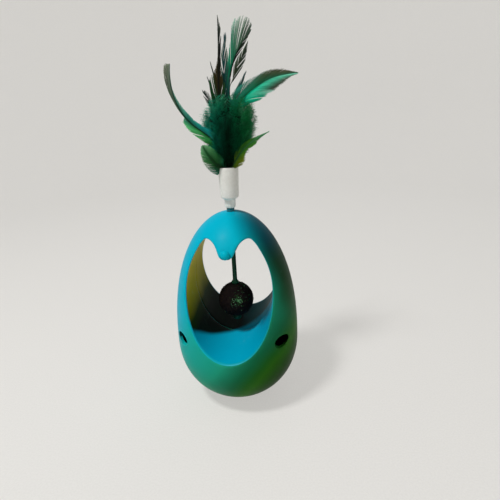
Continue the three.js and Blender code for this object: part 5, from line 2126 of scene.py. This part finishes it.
@dataclass
class FeatherHead:
    """The peg in the crown and the sleeve with its feathers."""

    crown_z: float = 131.35
    peg_foot_z: float = 120.8
    peg_radius: float = 2.4
    peg_shoulder_z: float = 133.15
    flange_radius: float = 6.2
    flange_height: float = 1.6
    flange_drop: float = 4.1
    spigot_radius: float = 1.6
    spigot_length: float = 5.2
    socket_radius: float = 1.9
    sleeve_z: float = 133.45
    sleeve_radius: float = 2.3
    sleeve_round: Span = (1.0, 1.3)
    sleeve_round_steps: int = 6
    cup_z: float = 139.0
    cup_outside: Sequence[Span] = (
        (3.52, -0.2), (3.75, 0.02), (4.2, 0.32), (5.1, 0.95),
        (5.55, 1.4), (5.72, 2.2), (5.88, 7.5), (6.12, 14),
    )
    cup_rim: Sequence[Span] = ((6.35, -0.35), (6.1, 0), (5.35, 0))
    cup_inside: Sequence[Span] = ((5.0, 10), (4.7, 2.3))
    glue_drop: float = 2.0
    glue_radius: float = 4.4
    glue_dome: Sequence[Span] = ((4.4, -1.1), (4.0, -0.8), (3.0, -0.35), (1.5, -0.05))
    inner_ring: float = 1.15
    outer_ring: float = 2.8
    slots: Sequence[tuple[str, tuple[str, ...]]] = (
        ("bright_feather", ("right_feather",)),
        ("brown_feather", ("tall_feather", "slim_feather", "crest_feather")),
    )

    def build(self) -> None:
        """Builds and dresses the peg, the sleeve, the glue, the feathers and the tuft."""
        # Dark teal for the peg: the shell's teal darkened by painted shade
        self.peg(Speckled("peg_painted_shade", "#044a54", "#08707c", 0.4, 0.5, specular=0.25).material())
        white = Speckled("white_polypropylene", "#d9d9d2", "#eeeeea", 0.38, 1.5, relief_strength=0.08)
        self.sleeve(white.material())
        self.glue(Speckled("set_glue", "#c9bf98", "#e2d9b8", 0.3, 0.9, relief_strength=0.4).material())
        for feather in self.feathers():
            nodes = (feather.node,) if feather.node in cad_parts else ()
            shown(feather.build(), "feather_head", self.slot_of(feather.node), *nodes)
        # Near black inside the tuft is painted shade; the pale wisp colour is painted light through thin
        # fibres
        down = Marabou("dyed_marabou_painted_shade_and_light", "#010f08", "#0eac8c", "#0a9a50", "#084a1c", "#64ac86").material()
        for i, piece in enumerate(MarabouTuft(down).build()):
            nodes = ("marabou_tuft",) if i == 0 else ()
            shown(piece, "feather_head", "fluff", *nodes)

    def slot_of(self, node: str) -> str:
        """The name of a feather's material slot."""
        return next((slot for slot, nodes in self.slots if node in nodes), "dark_feather")

    def peg(self, finish: Material) -> None:
        """Turns the peg, with its flange under the skin and its spigot in the sleeve."""
        shoulder = self.peg_shoulder_z - FOOT_DEPTH
        flange = self.crown_z - self.flange_drop - FOOT_DEPTH
        profile = [
            (self.peg_radius, self.peg_foot_z - FOOT_DEPTH),
            (self.peg_radius, flange - self.flange_height),
            (self.flange_radius, flange - self.flange_height),
            (self.flange_radius, flange),
            (self.peg_radius, flange),
            (self.peg_radius, shoulder),
            (self.spigot_radius, shoulder),
            (self.spigot_radius, shoulder + self.spigot_length),
        ]
        shown(RoundPiece("top_peg_moulded", profile, finish, 56, 0.2).build(), "swivel", "stem", "top_peg")

    def sleeve(self, finish: Material) -> None:
        """Turns the sleeve: socket, neck, shoulder and flared cup."""
        low, cup, top = (z - FOOT_DEPTH for z in (self.sleeve_z, self.cup_z, CUP_TOP_Z))
        socket = self.peg_shoulder_z + self.spigot_length + CLEARANCE - FOOT_DEPTH
        profile = [(self.socket_radius, socket), (self.socket_radius, low), (self.sleeve_radius, low)]
        wide, high = self.sleeve_round
        for i in range(1, self.sleeve_round_steps + 1):
            angle = math.pi / 2 * i / self.sleeve_round_steps
            profile.append((self.sleeve_radius + wide * math.sin(angle), low + high * (1 - math.cos(angle))))
        for start, table in ((cup, self.cup_outside), (top, self.cup_rim), (cup, self.cup_inside)):
            profile += [(radius, start + rise) for radius, rise in table]
        sleeve = RoundPiece("feather_sleeve_moulded", profile, finish, 96, 0.12).build()
        shown(sleeve, "feather_head", "sleeve", "feather_sleeve")

    def glue(self, finish: Material) -> None:
        """Turns the plug of set glue that holds the quills, with a domed top."""
        low = CUP_FLOOR_Z + CLEARANCE - FOOT_DEPTH
        top = CUP_TOP_Z - self.glue_drop - FOOT_DEPTH
        profile = [(self.glue_radius, low), *((radius, top + rise) for radius, rise in self.glue_dome)]
        plug = RoundPiece("glue_plug_set", profile, finish, 48, 0.2).build()
        shown(plug, "feather_head", "glue", "glue_plug")

    def dyes(self) -> dict[str, Material]:
        """The dyed finishes of the feathers, by name."""
        black = ((0.4, "#06180e"), (0.7, "#08140e"), (1.0, "#16241e"))
        smoky = ((0.4, "#0c2a20"), (0.7, "#1c3228"), (1.0, "#3a4a44"))
        brown = ((0.52, "#0c3014"), (0.6, "#1c1805"), (0.68, "#141206"), (0.8, "#0a1012"), (1.0, "#141e20"))
        brown_edge = (
            (0.52, "#10401c"), (0.6, "#2e2809"), (0.68, "#29240a"), (0.8, "#1a1e14"), (1.0, "#5a6258"),
        )
        smoke = ((0.5, "#0c5a4a"), (0.8, "#1c5058"), (1.0, "#3a6068"))
        smoke_edge = ((0.5, "#14605a"), (0.8, "#46604c"), (1.0, "#5a7074"))
        leaf = ((0.48, "#08300c"), (0.7, "#0a3810"), (1.0, "#16562a"))
        leaf_edge = ((0.44, "#1c7a58"), (0.6, "#2c7a3c"), (0.8, "#50905a"), (1.0, "#74a47c"))
        yellow = ((0.42, "#3a5c0c"), (0.7, "#2c7020"), (1.0, "#4a8a60"))
        yellow_edge = ((0.42, "#7c8c10"), (0.6, "#4c8c1e"), (0.8, "#3c8030"), (1.0, "#6aa080"))
        olive = ((0.5, "#2c3a24"), (0.8, "#34402c"), (1.0, "#0c140e"))
        alike = (
            ("dyed_hackle_black", (black, smoky), ((0.4, "#03100a"), (1.0, "#0c1a16"))),
            ("dyed_quill_brown", (brown, brown_edge), ((0.4, "#060c06"), (1.0, "#050a0a"))),
            ("dyed_hackle_smoke", (smoke, smoke_edge), ((0.4, "#0a3a2c"), (1.0, "#1c4444"))),
            ("dyed_leaf", (leaf, leaf_edge), ((0.4, "#0a2c0c"), (1.0, "#1c4c28"))),
            ("dyed_leaf_yellow", (yellow, yellow_edge), ((0.4, "#0a2c0c"), (1.0, "#4a8a60"))),
        )
        kinds = [DyedFeather(name, vane, vane, shaft) for name, vane, shaft in alike]
        kinds += [
            DyedFeather(
                "dyed_crest",
                (
                    (
                        (0.5, "#0a6a4c"), (0.7, "#0c7a54"), (0.78, "#1c8460"), (0.88, "#34523e"),
                        (1.0, "#223026"),
                    ),
                    (
                        (0.5, "#0a5040"), (0.72, "#148a68"), (0.77, "#48987c"),
                        (0.83, "#688c74"), (0.9, "#506454"), (1.0, "#34443a"),
                    ),
                ),
                (
                    ((0.5, "#0a4a34"), (0.7, "#0a1c14"), (1.0, "#10180f")),
                    ((0.5, "#0a3a2c"), (0.7, "#0c1812"), (1.0, "#2c382c")),
                ),
                ((0.4, "#0a5a3c"), (0.66, "#0c5a3c"), (0.76, "#0a2018"), (1.0, "#141c14")),
            ),
            DyedFeather(
                "dyed_side_plume",
                (olive, ((0.5, "#46523c"), (1.0, "#4a5a4a"))),
                (olive, ((0.5, "#3c4a3c"), (1.0, "#2c3a30"))),
                ((0.4, "#2c3a28"), (0.8, "#22301c"), (1.0, "#0a120c")),
            ),
            DyedFeather(
                "dyed_hackle_bright",
                (
                    (
                        (0.5, "#0f8a70"), (0.62, "#12785a"), (0.72, "#0c5a3c"), (0.85, "#0a4a30"),
                        (1.0, "#1c6a4c"),
                    ),
                    (
                        (0.5, "#2c8a78"), (0.62, "#3a7a66"), (0.72, "#4a5a3c"), (0.85, "#4c5038"),
                        (1.0, "#2a4030"),
                    ),
                ),
                (
                    (
                        (0.5, "#0aa078"), (0.68, "#14d0a6"), (0.78, "#48dcb4"), (0.9, "#6ce0bc"),
                        (1.0, "#8cecc8"),
                    ),
                    (
                        (0.5, "#0c9070"), (0.6, "#12c49a"), (0.66, "#8ce4c8"),
                        (0.69, "#4a5a4a"), (0.85, "#556a58"), (1.0, "#6aa890"),
                    ),
                ),
                ((0.4, "#0a4a30"), (0.75, "#0a5a3c"), (0.86, "#58c4a0"), (1.0, "#8ae0c4")),
            ),
            DyedFeather(
                "dyed_hackle_curved",
                (
                    (
                        (0.34, "#0c5a20"), (0.5, "#1c7a34"), (0.6, "#0c4a34"), (0.8, "#4a5a4a"),
                        (1.0, "#6a786c"),
                    ),
                    (
                        (0.34, "#2a8a3a"), (0.5, "#5cc07a"), (0.6, "#2c7a5c"), (0.8, "#5a6450"),
                        (1.0, "#74806c"),
                    ),
                ),
                (
                    ((0.34, "#0a5a5c"), (0.5, "#0c6a60"), (0.7, "#0c3c2c"), (1.0, "#1c5a4a")),
                    ((0.34, "#0c8088"), (0.5, "#149080"), (0.7, "#5a9a84"), (1.0, "#4a7060")),
                ),
                ((0.3, "#06301c"), (0.75, "#041c12"), (1.0, "#1c4c3c")),
            ),
        ]
        return {kind.name: kind.material() for kind in kinds}

    def feathers(self) -> list[Feather]:
        """Every feather with its place, its shape and its dye."""
        dyes = self.dyes()
        inner, outer = self.inner_ring, self.outer_ring
        spike = ((0.5, 0.0), (0.62, 0.018), (0.72, 0.014), (0.82, 0.009), (0.9, 0.004), (1.0, 0.002))
        thin = {"splay": 13, "looseness": 0.12, "spacing": 0.3, "barb_width": 0.2, "split": 1.2}
        return [
            Feather(
                "tall_feather", inner, -90, dyes["dyed_quill_brown"],
                path=(
                    (-0.008, -0.024, 0.3), (-0.015, -0.03, 0.5), (-0.018, -0.034, 0.62),
                    (-0.003, -0.037, 0.8), (0.001, -0.04, 0.985),
                ),
                left=(
                    (0.48, 0), (0.55, 0.036), (0.6, 0.06), (0.65, 0.068), (0.68, 0.054), (0.71, 0.032),
                    (0.75, 0.016), (0.8, 0.009), (0.9, 0.005), (1, 0.001),
                ),
                right=(
                    (0.5, 0), (0.56, 0.024), (0.62, 0.036), (0.655, 0.036), (0.68, 0.024), (0.72, 0.013),
                    (0.8, 0.009), (0.86, 0.011), (0.9, 0.015), (0.94, 0.014), (0.975, 0.007), (1, 0.001),
                ),
                splay=17, spacing=0.22, barb_width=0.26, shaft_end=1.0,
            ),
            Feather(
                "slim_feather", inner, 30, dyes["dyed_hackle_smoke"],
                path=((0.004, 0, 0.3), (0.008, -0.006, 0.55), (0.016, -0.01, 0.8), (0.035, -0.012, 0.92)),
                left=(
                    (0.5, 0), (0.6, 0.008), (0.7, 0.012), (0.8, 0.015), (0.87, 0.014), (0.91, 0.008),
                    (0.94, 0.003), (0.965, 0.008), (1, 0.001),
                ),
                right=(
                    (0.5, 0), (0.6, 0.022), (0.7, 0.032), (0.8, 0.03), (0.88, 0.024), (0.92, 0.01),
                    (0.96, 0.01), (1, 0.001),
                ),
                **thin,
            ),
            Feather(
                "crest_feather", outer, 65, dyes["dyed_crest"],
                path=(
                    (0.022, 0.022, 0.3), (0.024, 0.024, 0.5), (0.03, 0.026, 0.625), (0.037, 0.028, 0.674),
                    (0.0495, 0.03, 0.722), (0.066, 0.032, 0.768), (0.084, 0.034, 0.805),
                    (0.108, 0.036, 0.842), (0.1385, 0.038, 0.877), (0.165, 0.04, 0.907),
                ),
                left=(
                    (0.5, 0.05), (0.6, 0.07), (0.66, 0.08), (0.72, 0.1), (0.745, 0.15), (0.765, 0.225),
                    (0.79, 0.235), (0.84, 0.205), (0.89, 0.155), (0.94, 0.085), (0.975, 0.03), (1, 0.01),
                ),
                right=(
                    (0.5, 0), (0.6, 0.008), (0.7, 0.006), (0.8, 0.005), (0.86, 0.014), (0.9, 0.018),
                    (0.95, 0.012), (1, 0.001),
                ),
                fan=True, splay=19, looseness=0.08, spacing=0.13, barb_width=0.2, barb_steps=7,
                split=0.35, clump=9,
                shaft_end=1.0,
            ),
            Feather(
                "crest_side_plume", outer, 65, dyes["dyed_side_plume"],
                path=(
                    (0.024, 0.024, 0.4), (0.028, 0.026, 0.58), (0.036, 0.028, 0.63), (0.0526, 0.029, 0.662),
                    (0.0676, 0.03, 0.697), (0.0872, 0.032, 0.738), (0.1085, 0.034, 0.778),
                    (0.1295, 0.036, 0.817), (0.1483, 0.038, 0.857),
                ),
                left=((0.79, 0), (0.81, 0.014), (0.84, 0.023), (0.9, 0.022), (0.95, 0.01), (1, 0.002)),
                right=((0.79, 0), (0.81, 0.016), (0.84, 0.026), (0.9, 0.026), (0.95, 0.014), (1, 0.002)),
                splay=17, looseness=0.1, spacing=0.2, barb_width=0.2, split=0.8,
                quill_radius=0.16, shaft_end=1.0,
            ),
            Feather(
                "right_feather", outer, -20, dyes["dyed_hackle_bright"],
                path=(
                    (0.045, -0.014, 0.3), (0.069, -0.027, 0.445), (0.094, -0.033, 0.53),
                    (0.124, -0.04, 0.57), (0.179, -0.047, 0.612), (0.286, -0.06, 0.66),
                    (0.388, -0.073, 0.677), (0.438, -0.08, 0.68),
                ),
                left=(
                    (0.42, 0), (0.46, 0.03), (0.5, 0.05), (0.55, 0.064), (0.6, 0.068), (0.65, 0.063),
                    (0.7, 0.056), (0.75, 0.052), (0.8, 0.05), (0.85, 0.046), (0.9, 0.036), (0.95, 0.017),
                    (1, 0.001),
                ),
                right=(
                    (0.5, 0), (0.55, 0.018), (0.6, 0.042), (0.65, 0.059), (0.7, 0.073), (0.755, 0.073),
                    (0.775, 0.062), (0.8, 0.067), (0.85, 0.056), (0.9, 0.038), (0.93, 0.02), (0.96, 0.01),
                    (1, 0.001),
                ),
                splay=33, looseness=0.04, spacing=0.24, barb_width=0.29, split=0.1, shaft_end=0.98,
            ),
            Feather(
                "left_feather", outer, -160, dyes["dyed_hackle_curved"],
                path=(
                    (-0.022, -0.032, 0.25), (-0.056, -0.088, 0.338), (-0.102, -0.1, 0.383),
                    (-0.173, -0.096, 0.436), (-0.231, -0.09, 0.502), (-0.266, -0.085, 0.582),
                    (-0.28, -0.08, 0.652), (-0.28, -0.08, 0.718), (-0.275, -0.08, 0.762),
                ),
                left=(
                    (0.3, 0), (0.36, 0.02), (0.4, 0.036), (0.45, 0.044), (0.5, 0.048), (0.55, 0.048),
                    (0.6, 0.042), (0.645, 0.033), (0.66, 0.005), (0.7, 0.007), (0.75, 0.012), (0.8, 0.018),
                    (0.85, 0.026), (0.9, 0.034), (0.95, 0.038), (0.99, 0.037), (1, 0.026),
                ),
                right=(
                    (0.3, 0), (0.34, 0.02), (0.4, 0.044), (0.47, 0.04), (0.5, 0.033), (0.55, 0.029),
                    (0.6, 0.026), (0.65, 0.028), (0.7, 0.024), (0.75, 0.017), (0.8, 0.01), (0.85, 0.004),
                    (1, 0.002),
                ),
                splay=24, looseness=0.03, spacing=0.24, barb_width=0.32, split=0.14, shaft_end=0.99,
            ),
            Feather(
                "low_left_feather", outer, -115, dyes["dyed_leaf"],
                path=(
                    (-0.04, -0.055, 0.184), (-0.058, -0.078, 0.207), (-0.082, -0.09, 0.242),
                    (-0.106, -0.094, 0.28), (-0.124, -0.094, 0.318),
                ),
                left=(
                    (0.4, 0.03), (0.44, 0.052), (0.52, 0.058), (0.62, 0.064), (0.74, 0.062), (0.84, 0.05),
                    (0.93, 0.034), (1, 0.012),
                ),
                right=(
                    (0.4, 0.015), (0.48, 0.04), (0.6, 0.054), (0.75, 0.06), (0.87, 0.05), (0.95, 0.034),
                    (1, 0.012),
                ),
                splay=48, curl=-0.01, looseness=0.02, spacing=0.12, barb_width=0.36, split=0.08,
                clump=20, shaft_end=0.99,
            ),
            Feather(
                "low_right_feather", outer, -65, dyes["dyed_leaf_yellow"],
                path=(
                    (0.036, -0.045, 0.188), (0.066, -0.064, 0.232), (0.108, -0.074, 0.283),
                    (0.176, -0.07, 0.337), (0.262, -0.06, 0.38),
                ),
                left=((0.45, 0), (0.55, 0.03), (0.65, 0.032), (0.75, 0.022), (0.85, 0.01), (1, 0.002)),
                right=(
                    (0.42, 0.02), (0.46, 0.048), (0.5, 0.052), (0.55, 0.045), (0.6, 0.032), (0.65, 0.023),
                    (0.69, 0.019), (0.74, 0.025), (0.8, 0.026), (0.84, 0.016), (0.9, 0.008), (1, 0.001),
                ),
                splay=38, looseness=0.03, spacing=0.18, barb_width=0.32, split=0.06, shaft_end=0.99,
            ),
            Feather(
                "high_hackle", inner, 150, dyes["dyed_hackle_black"],
                path=(
                    (-0.012, 0.014, 0.3), (-0.02, 0.01, 0.5), (-0.042, 0.004, 0.66),
                    (-0.067, -0.004, 0.781),
                ),
                left=spike, right=spike, **thin,
            ),
            Feather(
                "middle_hackle", outer, 155, dyes["dyed_hackle_black"],
                path=((-0.032, 0.012, 0.3), (-0.045, 0.012, 0.5), (-0.064, 0.01, 0.6), (-0.092, 0, 0.7)),
                left=spike, right=spike, **thin,
            ),
            Feather(
                "low_hackle", outer, 110, dyes["dyed_hackle_black"],
                path=(
                    (-0.03, 0.035, 0.3), (-0.06, 0.034, 0.45), (-0.09, 0.024, 0.55), (-0.121, 0.01, 0.622),
                ),
                left=((0.5, 0), (0.7, 0.012), (0.85, 0.02), (0.95, 0.018), (1, 0.006)),
                right=((0.5, 0), (0.7, 0.012), (0.85, 0.024), (0.95, 0.02), (1, 0.004)),
                splay=24, looseness=0.25, spacing=0.6, barb_width=0.26, split=1.5,
            ),
            Feather(
                "right_hackle", outer, 25, dyes["dyed_hackle_smoke"],
                path=((0.034, 0.02, 0.3), (0.05, 0.016, 0.5), (0.08, 0.01, 0.6), (0.142, 0, 0.716)),
                left=((0.5, 0), (0.6, 0.02), (0.75, 0.024), (0.88, 0.01), (1, 0.002)),
                right=((0.5, 0), (0.6, 0.02), (0.75, 0.026), (0.88, 0.014), (1, 0.002)),
                **thin,
            ),
        ]


def write_sizes() -> None:
    """Brings the scene up to date."""
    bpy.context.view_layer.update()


def main() -> None:
    """Builds the toy and the studio in order."""
    logging.basicConfig(level=logging.INFO, format="%(message)s")
    Studio().build()
    for group in (Egg(), Swinging(), FeatherHead()):
        group.build()
        log.info("%s is built", type(group).__name__)
    write_sizes()


if __name__ == "__main__":
    main()
